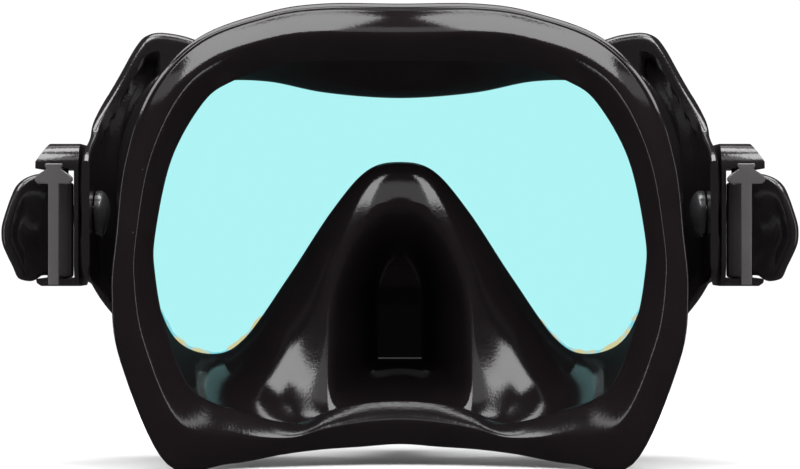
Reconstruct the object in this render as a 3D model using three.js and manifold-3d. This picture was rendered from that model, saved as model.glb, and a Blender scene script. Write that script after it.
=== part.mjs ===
// A single-lens diving mask: lens, frame, retaining bezel, silicone skirt with its nose pocket,
// and a swivelling strap buckle on each side. Millimetres, +X to the wearer's right, +Y forwards
// through the lens, +Z up. The origin is on the lens's front face, in the middle of its bridge.
import * as THREE from "three";
import { ParametricGeometry } from "three/addons/geometries/ParametricGeometry.js";
import { mergeVertices } from "three/addons/utils/BufferGeometryUtils.js";
import Module from "manifold-3d";

const wasm = await Module();
wasm.setup();

// ---- Overall sizes ----
const MASK_WIDTH = 144; // across the skirt's flange
const MASK_HEIGHT = 120; // over the skirt's flange
const BROW_DEPTH = 36; // lens front to the flange's ridge, at the middle
const TEMPLE_SWEEP = 31; // how much further back the flange reaches at half the width
const CLEARANCE = 0.3; // between pieces that touch

// ---- Lens, bezel and frame rim ----
const LENS_THICK = 4;
const LENS_STEP = 1.5; // depth of the ledge that the bezel holds
const LENS_LEDGE = 2.2; // width of that ledge
const LENS_HOLD = 3.2; // how far the pane reaches beyond the window
const LIP_THICK = 2.7; // the skirt's lip, clamped behind the pane
const BACK_LIP = 1.7; // the frame's flange behind the skirt's lip
const RIM_WIDTH = 4.8; // of the frame around the pane
const BEZEL_SEAT = 2.4; // how far the bezel reaches over the frame

// ---- Skirt ----
const WALL = 1.6;
const FLANGE_EDGE = 0.9; // thickness at the flange's free edges
const FLANGE_CURL = 4; // how far the free edges lie forward of the ridge
const RIDGE_SHARE = 0.45; // of the way from the flange's inner edge to its outer one
const FLANGE_IN_SHARE = 0.2; // shares at which the flange's curve takes a point of its own
const FLANGE_OUT_SHARE = 0.72;
const WALL_STRAIGHT = 8; // length over which the wall leaves the lens and meets the ridge squarely
const WALL_STEPS = 18;

// ---- Nose pocket ----
const NOSE_DROP = 11.4; // top of the pocket below the window's notch
const NOSE_MARGIN = 11; // pocket's side inside the notch, at the notch's middle
const NOSE_ARCH = 34; // height of the pocket's arched top, over its upright sides
const NOSE_ROLL = 13; // width over which the pocket's wall turns forwards
const NOSE_BRIDGE_Y = 6; // how far forward the pocket reaches at its top
const NOSE_TIP_Y = 20; // and at the tip of the nose
const NOSE_TIP_DROP = 30; // the tip's height below the pocket's top
const NOSE_FLOOR_RISE = 2; // floor of the pocket above the flange's inner edge

// ---- Side arms of the frame ----
const ARM_REACH = 10.4; // outer face of the arm's end beyond half the mask's width
const ARM_PLATE = 2;
const ARM_END_Y = -37;
const ARM_CHAMFER = 0.8;
const ARM_CUT_REACH = 8; // of the pivot's hole either side of the arm's middle
const ARM_PANEL_INSET = 5; // border around the recessed panel
const ARM_PANEL_SKIN = 1.6; // wall left in front of the recessed panel
const ARM_PANEL_FROM = 3; // first and last arm station that the panel spans
const ARM_PANEL_TO = 7;

// ---- Swivel ----
const PIVOT_Y = -23;
const PIVOT_Z = 5.3;
const PIVOT_R = 2.5;
const PIVOT_HEAD_R = 6.2;
const PIVOT_HEAD_H = 3.8;
const WASHER_R = 6;
const WASHER_T = 0.4;
const CLIP_R = 4.1;
const CLIP_T = 0.8;
const CLIP_MOUTH = 0.8; // half the clip's mouth as a share of its inner radius

// ---- Buckle ----
const BUCKLE_WIDTH = 11.2; // along X
const BUCKLE_FRONT_Y = -10;
const BUCKLE_LENGTH = 26; // along Y
const BUCKLE_TOP = 23.6;
const BUCKLE_BOTTOM = -13.6;
const BUCKLE_SIDE = 1.2; // the plate against the arm
const BUCKLE_ROOF = 6.6;
const BUCKLE_FLOOR = 2;
const BUCKLE_CORNER = 6;
const ROOF_EDGE = 1.8; // height of the roof's outer edge under its chamfer
const ROOF_CHAMFER = 3.2; // width of that chamfer
const FLOOR_CHAMFER = 0.9;
const PIN_DEPTH = 1.1; // how far the pins reach into the buckle's floor
const PIN_RISE = 2.7; // and into its roof
const HOLE_SPARE = 0.3; // the pins' holes are that much deeper than the pins
const ROLLER_R = 2.4;
const ROLLER_Y = -31;
const ROLLER_PIN_R = 1.1;
const ROLLER_TOP_GAP = 3.6; // between the roller and the buckle's roof
const GUIDE_THICK = 1.8;
const GUIDE_STEM = 2.8;
const GUIDE_OVERHANG = 1; // of the stem beyond the roller's outermost line
const GUIDE_FOOT_GAP = 0.4; // stem's foot above the buckle's underside
const GUIDE_HEAD = 9.8;
const GUIDE_HEAD_H = 2.4;
const GUIDE_HEAD_Z = 13;
const GUIDE_HEAD_ROUND = 0.8; // corner cut at each end of the head's bar
const GUIDE_SHOULDER = 1.5; // height of the sloped shoulders over the bar
const GUIDE_WAIST = 3.6;
const GUIDE_NECK = 4.6;
const GUIDE_NECK_H = 0.9;
const GUIDE_NECK_STEP = 0.5; // height of the waist under the neck

// ---- Release lever ----
const LEVER_PIN_R = 1.0;
const LEVER_HUB_R = 2.3;
const LEVER_Y = -13;
const LEVER_INSET = 2.6; // hinge line inside the buckle's outer edge
const LEVER_LENGTH = 16;
const LEVER_THICK = 3;
const LEVER_ANGLE = 35; // degrees behind the outward direction
const LEVER_DROP = 1.2; // how far the paddle hangs below its hub, outside the buckle
const SPRING_GAP = 10; // free height between the lever's two knuckles
const SPRING_WIRE = 0.35;
const SPRING_TURNS = 5;
const SPRING_STEPS = 9; // points on each turn

// The paddle's outline from its upper end round to its lower one: shares of its length outwards
// from the hinge line, and of its height up from its lowest point.
const PADDLE = [
  [0, 0.98], [0.3, 0.98], [0.55, 0.94], [0.72, 0.87], [0.82, 0.77], [0.9, 0.66], [0.98, 0.53],
  [1, 0.44], [0.98, 0.34], [0.89, 0.23], [0.79, 0.13], [0.71, 0.04], [0.62, 0.01], [0.46, 0],
  [0.34, 0.03], [0.26, 0.05], [0, 0.05],
];

// ---- Outlines, as shares of half the width and half the height ----
// Each row is one station of the right half, from the brow's middle round to the lip's middle:
// the lens window, the flange's inner edge and the flange's outer edge.
const STATIONS = [
  [[0, 0.613], [0, 0.75], [0, 1]],
  [[0.278, 0.637], [0.278, 0.75], [0.278, 0.997]],
  [[0.5, 0.688], [0.444, 0.727], [0.479, 0.953]],
  [[0.694, 0.683], [0.604, 0.653], [0.715, 0.833]],
  [[0.847, 0.592], [0.701, 0.558], [0.875, 0.608]],
  [[0.938, 0.367], [0.806, 0.317], [0.956, 0.308]],
  [[0.958, 0.067], [0.86, 0], [0.986, 0]],
  [[0.93, -0.217], [0.861, -0.167], [1, -0.245]],
  [[0.847, -0.467], [0.824, -0.408], [0.971, -0.533]],
  [[0.708, -0.54], [0.732, -0.667], [0.819, -0.97]],
  [[0.583, -0.47], [0.554, -0.767], [0.607, -0.982]],
  [[0.417, -0.192], [0.382, -0.817], [0.417, -0.95]],
  [[0.256, 0.102], [0.256, -0.767], [0.285, -0.933]],
  [[0.125, 0.283], [0.131, -0.733], [0.144, -0.923]],
  [[0, 0.323], [0, -0.723], [0, -0.912]],
];
const NOTCH_STATION = 11; // the station at the notch's middle height
const COARSE_STEPS = 2; // points per station around the brow and temples
const FINE_STEPS = 7; // points per station around the nose
const FINE_FROM = 10; // first station of the nose's stretch

// ---- Values that follow ----
const HALF_W = MASK_WIDTH / 2;
const HALF_H = MASK_HEIGHT / 2;
const TOP_STATION = STATIONS.length - 1;
const SEGMENTS = 2 * TOP_STATION;
const BRIDGE_Z = (HALF_H * (STATIONS[0][0][1] + STATIONS[TOP_STATION][0][1])) / 2;
const LIP_FRONT = -LENS_THICK - CLEARANCE;
const LIP_BACK = LIP_FRONT - LIP_THICK;
const FRAME_BACK = LIP_BACK - CLEARANCE - BACK_LIP;
const WALL_START = FRAME_BACK - CLEARANCE * 2;
const PANE_EDGE = LENS_HOLD;
const FRAME_INNER = PANE_EDGE + CLEARANCE;
const FRAME_OUTER = FRAME_INNER + RIM_WIDTH;
const LIP_EDGE = PANE_EDGE - CLEARANCE;
const ARM_OUT = HALF_W + ARM_REACH;
const ARM_MID = ARM_OUT - ARM_PLATE / 2;
const WASHER_X = ARM_OUT + CLEARANCE;
const BUCKLE_X = WASHER_X + WASHER_T + CLEARANCE;
const BUCKLE_OUT = BUCKLE_X + BUCKLE_WIDTH;
const BUCKLE_BACK_Y = BUCKLE_FRONT_Y - BUCKLE_LENGTH;
const ROOF_Z = BUCKLE_TOP - BUCKLE_ROOF;
const FLOOR_Z = BUCKLE_BOTTOM + BUCKLE_FLOOR;
const ROLLER_X = BUCKLE_X + BUCKLE_SIDE + 2 * CLEARANCE + ROLLER_R;
const LEVER_X = BUCKLE_OUT - LEVER_INSET;

// ---- Materials ----
const finish = (color, roughness, metalness = 0) => ({ color, roughness, metalness });
const SILICONE = finish(0x1d1a1c, 0.28);
const PLASTIC = finish(0x141315, 0.22);
const GREY_PLASTIC = finish(0x8b8a90, 0.35);
const STEEL = finish(0xa9abb0, 0.3, 1);
const NYLON = finish(0x2a292c, 0.5);
const GLASS = finish(0xa9f0f2, 0.05);

// ---- Solids ----
const withoutCollapsed = (index) => {
  const kept = [];
  for (let i = 0; i < index.length; i += 3) {
    const [a, b, c] = [index[i], index[i + 1], index[i + 2]];
    if (a !== b && b !== c && c !== a) kept.push(a, b, c);
  }
  return new Uint32Array(kept);
};

function solidFrom(geometry) {
  const bare = new THREE.BufferGeometry();
  bare.setAttribute("position", geometry.getAttribute("position").clone());
  if (geometry.index) bare.setIndex(geometry.index.clone());
  const merged = mergeVertices(bare, 1e-4);
  const triVerts = withoutCollapsed(merged.index.array);
  const vertProperties = new Float32Array(merged.getAttribute("position").array);
  const solid = new wasm.Manifold(new wasm.Mesh({ numProp: 3, vertProperties, triVerts }));
  if (solid.volume() > 0) return solid;
  const outwards = triVerts.toReversed();
  return new wasm.Manifold(new wasm.Mesh({ numProp: 3, vertProperties, triVerts: outwards }));
}

function geometryFrom(solid) {
  const { vertProperties, triVerts } = solid.getMesh();
  const geometry = new THREE.BufferGeometry();
  geometry.setAttribute("position", new THREE.BufferAttribute(vertProperties, 3));
  geometry.setIndex(new THREE.BufferAttribute(triVerts, 1));
  geometry.computeVertexNormals();
  return geometry;
}

function piece(name, solid, material) {
  const mesh = new THREE.Mesh(geometryFrom(solid), new THREE.MeshStandardMaterial(material));
  mesh.name = name;
  return mesh;
}

const joined = (solids) => solids.reduce((sum, solid) => sum.add(solid));

// An outline in X and Z, extruded along Y from back to front.
function slab(outline, back, front, holes = []) {
  const shape = new THREE.Shape(outline);
  shape.holes = holes.map((hole) => new THREE.Path(hole));
  const geometry = new THREE.ExtrudeGeometry(shape, { depth: front - back, bevelEnabled: false });
  geometry.rotateX(Math.PI / 2);
  geometry.translate(0, front, 0);
  return solidFrom(geometry);
}

// A box between two corners.
function block([x0, y0, z0], [x1, y1, z1]) {
  const geometry = new THREE.BoxGeometry(x1 - x0, y1 - y0, z1 - z0);
  geometry.translate((x0 + x1) / 2, (y0 + y1) / 2, (z0 + z1) / 2);
  return solidFrom(geometry);
}

// A turned body: profile points are [radius, distance along the axis].
function turned(profile, axis, centre, sides = 24) {
  const points = profile.map(([r, h]) => new THREE.Vector2(r, h));
  const geometry = new THREE.LatheGeometry(points, sides);
  if (axis === "x") geometry.rotateZ(-Math.PI / 2);
  if (axis === "z") geometry.rotateX(Math.PI / 2);
  geometry.translate(...centre);
  return solidFrom(geometry);
}

const rod = (radius, from, to, axis, centre, sides = 24) =>
  turned([[0, from], [radius, from], [radius, to], [0, to]], axis, centre, sides);

const tube = (inner, outer, from, to, axis, centre, sides = 24) =>
  turned([[inner, from], [outer, from], [outer, to], [inner, to], [inner, from]], axis, centre, sides);

// A body through a list of rings of equal length; closed ends meet at the rings' own middles.
function lofted(rings, endless = false) {
  const middle = (ring) =>
    ring.reduce((sum, p) => sum.add(p), new THREE.Vector3()).divideScalar(ring.length);
  const count = rings[0].length;
  const capped = endless
    ? [...rings, rings[0]]
    : [rings[0].map(() => middle(rings[0])), ...rings, rings[0].map(() => middle(rings.at(-1)))];
  const along = capped.length - 1;
  const point = (u, v, target) =>
    target.copy(capped[Math.round(v * along)][Math.round(u * count) % count]);
  return solidFrom(new ParametricGeometry(point, count, along));
}

// ---- Closed outlines of the whole mask ----
function closedCurve(column) {
  const right = STATIONS.map((row) => row[column]);
  const left = right.slice(1, -1).reverse().map(([x, z]) => [-x, z]);
  const points = [...right, ...left].map(
    ([x, z]) => new THREE.Vector3(x * HALF_W, 0, z * HALF_H),
  );
  return new THREE.CatmullRomCurve3(points, true, "catmullrom", 0.5);
}

const WINDOW = closedCurve(0);
const FLANGE_IN = closedCurve(1);
const FLANGE_OUT = closedCurve(2);

function stationParameters() {
  const parameters = [];
  for (let segment = 0; segment < SEGMENTS; segment++) {
    const fromTop = Math.min(segment, SEGMENTS - 1 - segment);
    const steps = fromTop >= FINE_FROM ? FINE_STEPS : COARSE_STEPS;
    for (let i = 0; i < steps; i++) parameters.push((segment + i / steps) / SEGMENTS);
  }
  return parameters;
}

const PARAMETERS = stationParameters();

// Direction pointing away from the glass, in the plane of the window.
function windowNormal(t) {
  const tangent = WINDOW.getTangent((t + 1) % 1);
  return new THREE.Vector3(-tangent.z, 0, tangent.x).normalize();
}

const windowPoint = (t, outwards = 0) =>
  WINDOW.getPoint((t + 1) % 1).addScaledVector(windowNormal(t), outwards);

// The window's outline moved outwards, anticlockwise as seen with +X to the right.
const windowOutline = (outwards) =>
  PARAMETERS.map((t) => windowPoint(t, outwards))
    .map(({ x, z }) => new THREE.Vector2(x, z))
    .reverse();

// ---- Lens, bezel and frame rim ----
function lens() {
  const pane = slab(windowOutline(PANE_EDGE), -LENS_THICK, -LENS_STEP);
  const face = slab(windowOutline(PANE_EDGE - LENS_LEDGE), -LENS_STEP, 0);
  return piece("lens", pane.add(face), GLASS);
}

function lensBezel() {
  const outer = windowOutline(FRAME_INNER + BEZEL_SEAT);
  const inner = windowOutline(PANE_EDGE - LENS_LEDGE + CLEARANCE);
  return piece("lens_bezel", slab(outer, CLEARANCE - LENS_STEP, 0, [inner]), PLASTIC);
}

function frameRim() {
  const outer = windowOutline(FRAME_OUTER);
  const body = slab(outer, FRAME_BACK, -LENS_STEP, [windowOutline(FRAME_INNER)]);
  const rebate = windowOutline(FRAME_INNER + BEZEL_SEAT + CLEARANCE);
  const front = slab(outer, -LENS_STEP, 0, [rebate]);
  const backLip = windowOutline(WALL + CLEARANCE);
  const back = slab(outer, FRAME_BACK, FRAME_BACK + BACK_LIP, [backLip]);
  return joined([body, front, back]);
}

// ---- Side arms ----
// Stations of the arm: X and Y of its middle, its lower and upper edge as shares of half the
// mask's height, and its thickness.
function armStations() {
  const rimX = HALF_W;
  return [
    { x: rimX - 26, y: -5, low: -0.45, high: 0.82, thick: 7.5 },
    { x: rimX - 18, y: -5, low: -0.467, high: 0.867, thick: 7.5 },
    { x: rimX - 12, y: -5.2, low: -0.483, high: 0.9, thick: 7 },
    { x: rimX - 4.2, y: -5.8, low: -0.483, high: 0.91, thick: 6.4 },
    { x: rimX - 0.8, y: -7, low: -0.45, high: 0.843, thick: 5.5 },
    { x: rimX + 4, y: -9, low: -0.383, high: 0.683, thick: 4.2 },
    { x: rimX + 7.5, y: -11.5, low: -0.3, high: 0.575, thick: 3.2 },
    { x: ARM_MID, y: -14.5, low: -0.233, high: 0.492, thick: ARM_PLATE },
    { x: ARM_MID, y: -16.5, low: -0.225, high: 0.433, thick: ARM_PLATE },
    { x: ARM_MID, y: ARM_END_Y + 3, low: -0.2, high: 0.367, thick: ARM_PLATE },
    { x: ARM_MID, y: ARM_END_Y, low: -0.15, high: 0.317, thick: ARM_PLATE },
  ];
}

// One ring of the arm between two heights and two distances behind its middle surface.
function armRing(stations, i, inset, near, far, chamfer) {
  const here = stations[i];
  const before = stations[Math.max(i - 1, 0)];
  const after = stations[Math.min(i + 1, stations.length - 1)];
  const along = new THREE.Vector2(after.x - before.x, after.y - before.y).normalize();
  const low = here.low * HALF_H + inset;
  const high = here.high * HALF_H - inset;
  const corners = [
    [near + chamfer, low], [far - chamfer, low], [far, low + chamfer], [far, high - chamfer],
    [far - chamfer, high], [near + chamfer, high], [near, high - chamfer], [near, low + chamfer],
  ];
  return corners.map(
    ([behind, z]) => new THREE.Vector3(here.x + along.y * behind, here.y - along.x * behind, z),
  );
}

function armSolid() {
  const stations = armStations();
  const rings = stations.map(({ thick }, i) =>
    armRing(stations, i, 0, -thick / 2, thick / 2, ARM_CHAMFER),
  );
  const panel = [];
  for (let i = ARM_PANEL_FROM; i <= ARM_PANEL_TO; i++) {
    const { thick } = stations[i];
    panel.push(armRing(stations, i, ARM_PANEL_INSET, ARM_PANEL_SKIN - thick / 2, thick, ARM_CHAMFER));
  }
  const pinHole = rod(
    PIVOT_R + CLEARANCE, -ARM_CUT_REACH, ARM_CUT_REACH, "x", [ARM_MID, PIVOT_Y, PIVOT_Z],
  );
  return lofted(rings).subtract(lofted(panel)).subtract(pinHole);
}

const mirrored = (solid) => solid.mirror([1, 0, 0]);

function frontFrame() {
  const reach = MASK_WIDTH;
  const insideRim = slab(windowOutline(FRAME_INNER), -reach, reach);
  const bezelRoom = slab(windowOutline(FRAME_INNER + BEZEL_SEAT + CLEARANCE), -LENS_STEP, reach);
  const arm = armSolid().subtract(insideRim).subtract(bezelRoom);
  return piece("front_frame", joined([frameRim(), arm, mirrored(arm)]), PLASTIC);
}

// ---- Skirt ----
const faceY = (x) => -(BROW_DEPTH + TEMPLE_SWEEP * (x / HALF_W) ** 2);

// A point on the flange: share 0 is its inner edge and 1 its outer one.
function flangePoint(t, share, under = false) {
  const inner = FLANGE_IN.getPoint((t + 1) % 1);
  const outer = FLANGE_OUT.getPoint((t + 1) % 1);
  const point = inner.clone().lerp(outer, share);
  const side = share < RIDGE_SHARE ? RIDGE_SHARE : 1 - RIDGE_SHARE;
  const away = Math.abs(share - RIDGE_SHARE) / side;
  point.y = faceY(point.x) + FLANGE_CURL * away ** 2;
  if (under) point.y += THREE.MathUtils.lerp(WALL, FLANGE_EDGE, away);
  return point;
}

// How far a point lies inside the nose pocket, from 0 outside to 1 on its front.
function pocketShare(x, z) {
  const top = HALF_H * STATIONS[TOP_STATION][0][1] - NOSE_DROP;
  const halfWidth = STATIONS[NOTCH_STATION][0][0] * HALF_W - NOSE_MARGIN;
  const above = Math.max(z - (top - NOSE_ARCH), 0);
  const out = Math.hypot(x / halfWidth, above / NOSE_ARCH);
  const slope = Math.hypot(x / halfWidth ** 2, above / NOSE_ARCH ** 2);
  const inside = slope > 0 ? ((1 - out) * out) / slope : halfWidth;
  const floor = HALF_H * STATIONS[TOP_STATION][1][1] + NOSE_FLOOR_RISE - NOSE_ROLL / 2;
  return (
    THREE.MathUtils.smoothstep(inside, 0, NOSE_ROLL) *
    THREE.MathUtils.smoothstep(z, floor, floor + NOSE_ROLL)
  );
}

function pocketFront(z) {
  const top = HALF_H * STATIONS[TOP_STATION][0][1] - NOSE_DROP;
  const down = THREE.MathUtils.smoothstep(top - z, 0, NOSE_TIP_DROP);
  return THREE.MathUtils.lerp(NOSE_BRIDGE_Y, NOSE_TIP_Y, down);
}

// The wall's inner surface: share 0 is at the lens and 1 under the flange's ridge.
function wallPoint(t, share) {
  const start = windowPoint(t).setY(WALL_START);
  const band = FLANGE_IN.getPoint((t + 1) % 1).distanceTo(FLANGE_OUT.getPoint((t + 1) % 1));
  const end = flangePoint(t, RIDGE_SHARE - WALL / 2 / band, true);
  const leave = start.clone().setY(start.y - WALL_STRAIGHT);
  const arrive = end.clone().setY(end.y + WALL_STRAIGHT);
  const point = new THREE.CubicBezierCurve3(start, leave, arrive, end).getPoint(share);
  const pocket = pocketShare(point.x, point.z);
  point.y = THREE.MathUtils.lerp(point.y, pocketFront(point.z), pocket);
  return point;
}

function wallOuterPoint(t, share) {
  const step = 1e-3;
  const [low, high] = [Math.max(share - step, 0), Math.min(share + step, 1)];
  const along = wallPoint(t, high).sub(wallPoint(t, low));
  const around = wallPoint(t + step, share).sub(wallPoint(t - step, share));
  return wallPoint(t, share).addScaledVector(along.cross(around).normalize(), WALL);
}

// The wall's share at which a part of its way from the lens to the ridge is done, seen along Y.
const evenShare = (done) => 0.5 - Math.sin(Math.asin(1 - 2 * done) / 3);

// The section's closed outline: lip, inner wall, under and over the flange, and back outside.
function skirtSection(t) {
  const shares = Array.from({ length: WALL_STEPS + 1 }, (_, i) => evenShare(i / WALL_STEPS));
  return [
    windowPoint(t).setY(LIP_FRONT),
    ...shares.map((share) => wallPoint(t, share)),
    ...[FLANGE_IN_SHARE, 0].map((share) => flangePoint(t, share, true)),
    ...[0, FLANGE_IN_SHARE, RIDGE_SHARE, FLANGE_OUT_SHARE, 1].map((share) => flangePoint(t, share)),
    ...[1, FLANGE_OUT_SHARE].map((share) => flangePoint(t, share, true)),
    ...shares.toReversed().map((share) => wallOuterPoint(t, share)),
    windowPoint(t, WALL).setY(LIP_BACK),
    windowPoint(t, LIP_EDGE).setY(LIP_BACK),
    windowPoint(t, LIP_EDGE).setY(LIP_FRONT),
  ];
}

const skirt = () => piece("skirt", lofted(PARAMETERS.map(skirtSection), true), SILICONE);

// ---- Swivel ----
function pivotPin() {
  const headFrom = ARM_OUT - ARM_PLATE - CLEARANCE;
  const end = BUCKLE_X + BUCKLE_SIDE + CLIP_T + 3 * CLEARANCE;
  const profile = [
    [0, headFrom - PIVOT_HEAD_H],
    [PIVOT_HEAD_R * 0.45, headFrom - PIVOT_HEAD_H * 0.92],
    [PIVOT_HEAD_R * 0.8, headFrom - PIVOT_HEAD_H * 0.66],
    [PIVOT_HEAD_R, headFrom - PIVOT_HEAD_H * 0.25],
    [PIVOT_HEAD_R, headFrom],
    [PIVOT_R, headFrom],
    [PIVOT_R, end],
    [0, end],
  ];
  return turned(profile, "x", [0, PIVOT_Y, PIVOT_Z]);
}

const pivotWasher = () =>
  tube(PIVOT_R + CLEARANCE, WASHER_R, WASHER_X, WASHER_X + WASHER_T, "x", [0, PIVOT_Y, PIVOT_Z]);

function pivotClip() {
  const from = BUCKLE_X + BUCKLE_SIDE + CLEARANCE;
  const inner = PIVOT_R + CLEARANCE;
  const ring = tube(inner, CLIP_R, from, from + CLIP_T, "x", [0, PIVOT_Y, PIVOT_Z]);
  const mouth = inner * CLIP_MOUTH;
  const open = block(
    [from - 1, PIVOT_Y, PIVOT_Z - mouth],
    [from + CLIP_T + 1, PIVOT_Y + CLIP_R + 1, PIVOT_Z + mouth],
  );
  return ring.subtract(open);
}

// ---- Buckle ----
function buckleBody() {
  const inside = BUCKLE_X + BUCKLE_SIDE;
  const outline = [
    [BUCKLE_X, BUCKLE_BOTTOM],
    [BUCKLE_OUT - FLOOR_CHAMFER, BUCKLE_BOTTOM],
    [BUCKLE_OUT, BUCKLE_BOTTOM + FLOOR_CHAMFER],
    [BUCKLE_OUT, FLOOR_Z],
    [inside, FLOOR_Z],
    [inside, ROOF_Z],
    [BUCKLE_OUT, ROOF_Z],
    [BUCKLE_OUT, ROOF_Z + ROOF_EDGE],
    [BUCKLE_OUT - ROOF_CHAMFER, BUCKLE_TOP],
    [BUCKLE_X, BUCKLE_TOP],
  ].map(([x, z]) => new THREE.Vector2(x, z));
  const channel = slab(outline, BUCKLE_BACK_Y, BUCKLE_FRONT_Y);
  const low = FLOOR_Z - PIN_DEPTH - HOLE_SPARE;
  const high = ROOF_Z + PIN_RISE + HOLE_SPARE;
  const holes = joined([
    rod(PIVOT_R + CLEARANCE, BUCKLE_X - 1, inside + 1, "x", [0, PIVOT_Y, PIVOT_Z]),
    rod(ROLLER_PIN_R + CLEARANCE, low, high, "z", [ROLLER_X, ROLLER_Y, 0]),
    rod(LEVER_PIN_R + CLEARANCE, low, high, "z", [LEVER_X, LEVER_Y, 0]),
  ]);
  return channel.intersect(roundedSide()).subtract(holes);
}

// The buckle's outline seen along X, with round corners, as deep as the buckle is wide.
function roundedSide() {
  const [y0, y1, z0, z1] = [BUCKLE_BACK_Y, BUCKLE_FRONT_Y, BUCKLE_BOTTOM, BUCKLE_TOP];
  const r = BUCKLE_CORNER;
  const shape = new THREE.Shape();
  shape.moveTo(y0 + r, z0);
  shape.lineTo(y1 - r, z0);
  shape.absarc(y1 - r, z0 + r, r, -Math.PI / 2, 0);
  shape.lineTo(y1, z1 - r);
  shape.absarc(y1 - r, z1 - r, r, 0, Math.PI / 2);
  shape.lineTo(y0 + r, z1);
  shape.absarc(y0 + r, z1 - r, r, Math.PI / 2, Math.PI);
  shape.lineTo(y0, z0 + r);
  shape.absarc(y0 + r, z0 + r, r, Math.PI, 1.5 * Math.PI);
  const options = { depth: BUCKLE_WIDTH + 2, bevelEnabled: false, curveSegments: 5 };
  const geometry = new THREE.ExtrudeGeometry(shape, options);
  geometry.rotateY(Math.PI / 2);
  geometry.rotateX(Math.PI / 2);
  geometry.translate(BUCKLE_X - 1, 0, 0);
  return solidFrom(geometry);
}

const strapRoller = () =>
  tube(
    ROLLER_PIN_R + CLEARANCE, ROLLER_R, FLOOR_Z + CLEARANCE, ROOF_Z - ROLLER_TOP_GAP, "z",
    [ROLLER_X, ROLLER_Y, 0], 20,
  );

const rollerPin = () =>
  rod(ROLLER_PIN_R, FLOOR_Z - PIN_DEPTH, ROOF_Z + PIN_RISE, "z", [ROLLER_X, ROLLER_Y, 0], 16);

// The T-shaped guide that the strap slides over, against the buckle's back edges.
function strapGuide() {
  const front = BUCKLE_BACK_Y - CLEARANCE;
  const stemX = ROLLER_X + ROLLER_R + GUIDE_OVERHANG - GUIDE_STEM / 2;
  const foot = BUCKLE_BOTTOM + GUIDE_FOOT_GAP;
  const headTop = GUIDE_HEAD_Z + GUIDE_HEAD_H;
  const cut = GUIDE_HEAD_ROUND;
  const waistLow = headTop + GUIDE_SHOULDER;
  const neckLow = waistLow + GUIDE_NECK_STEP;
  const halves = [
    [GUIDE_STEM / 2, foot],
    [GUIDE_STEM / 2, GUIDE_HEAD_Z],
    [GUIDE_HEAD / 2 - cut, GUIDE_HEAD_Z],
    [GUIDE_HEAD / 2, GUIDE_HEAD_Z + cut],
    [GUIDE_HEAD / 2, headTop - cut],
    [GUIDE_HEAD / 2 - cut, headTop],
    [GUIDE_WAIST / 2, waistLow],
    [GUIDE_NECK / 2, neckLow],
    [GUIDE_NECK / 2, neckLow + GUIDE_NECK_H],
  ];
  const right = halves.map(([half, z]) => new THREE.Vector2(stemX + half, z));
  const left = halves.toReversed().map(([half, z]) => new THREE.Vector2(stemX - half, z));
  return slab([...right, ...left], front - GUIDE_THICK, front);
}

// ---- Release lever ----
// The paddle before it is turned: X is outwards from the hinge line.
function paddle() {
  const low = FLOOR_Z + CLEARANCE - LEVER_DROP;
  const height = ROOF_Z - CLEARANCE - low;
  const points = PADDLE.map(
    ([out, up]) => new THREE.Vector2(out * LEVER_LENGTH, low + up * height),
  );
  const shape = new THREE.Shape();
  shape.moveTo(points[0].x, points[0].y);
  shape.splineThru(points.slice(1));
  const options = { depth: LEVER_THICK, bevelEnabled: false, curveSegments: 2 };
  const geometry = new THREE.ExtrudeGeometry(shape, options);
  geometry.rotateX(Math.PI / 2);
  geometry.translate(0, LEVER_THICK / 2, 0);
  geometry.rotateZ(-THREE.MathUtils.degToRad(LEVER_ANGLE));
  geometry.translate(LEVER_X, LEVER_Y, 0);
  return solidFrom(geometry);
}

const springLow = () => (FLOOR_Z + ROOF_Z - SPRING_GAP) / 2;

function releaseLever() {
  const centre = [LEVER_X, LEVER_Y, 0];
  const [low, high] = [FLOOR_Z + CLEARANCE, ROOF_Z - CLEARANCE];
  const hub = rod(LEVER_HUB_R, low, high, "z", centre);
  const bore = rod(LEVER_PIN_R + CLEARANCE, low - 1, high + 1, "z", centre, 16);
  const room = rod(
    LEVER_HUB_R + CLEARANCE * 2, springLow(), springLow() + SPRING_GAP, "z", centre,
  );
  return hub.add(paddle()).subtract(bore).subtract(room);
}

const leverPin = () =>
  rod(LEVER_PIN_R, FLOOR_Z - PIN_DEPTH, ROOF_Z + PIN_RISE, "z", [LEVER_X, LEVER_Y, 0], 16);

class Helix extends THREE.Curve {
  constructor(radius, low, high, turns) {
    super();
    Object.assign(this, { radius, low, high, turns });
  }
  getPoint(t, target = new THREE.Vector3()) {
    const angle = 2 * Math.PI * this.turns * t;
    const height = THREE.MathUtils.lerp(this.low, this.high, t);
    return target.set(this.radius * Math.cos(angle), this.radius * Math.sin(angle), height);
  }
}

function leverSpring() {
  const room = SPRING_WIRE + CLEARANCE;
  const radius = LEVER_PIN_R + CLEARANCE + SPRING_WIRE;
  const path = new Helix(radius, springLow() + room, springLow() + SPRING_GAP - room, SPRING_TURNS);
  const wire = new THREE.Shape();
  const sides = 6;
  for (let i = 0; i < sides; i++) {
    const angle = (2 * Math.PI * i) / sides;
    const [x, y] = [SPRING_WIRE * Math.cos(angle), SPRING_WIRE * Math.sin(angle)];
    if (i) wire.lineTo(x, y);
    else wire.moveTo(x, y);
  }
  const options = { steps: SPRING_STEPS * SPRING_TURNS, bevelEnabled: false, extrudePath: path };
  const geometry = new THREE.ExtrudeGeometry(wire, options);
  geometry.translate(LEVER_X, LEVER_Y, 0);
  return solidFrom(geometry);
}

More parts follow.
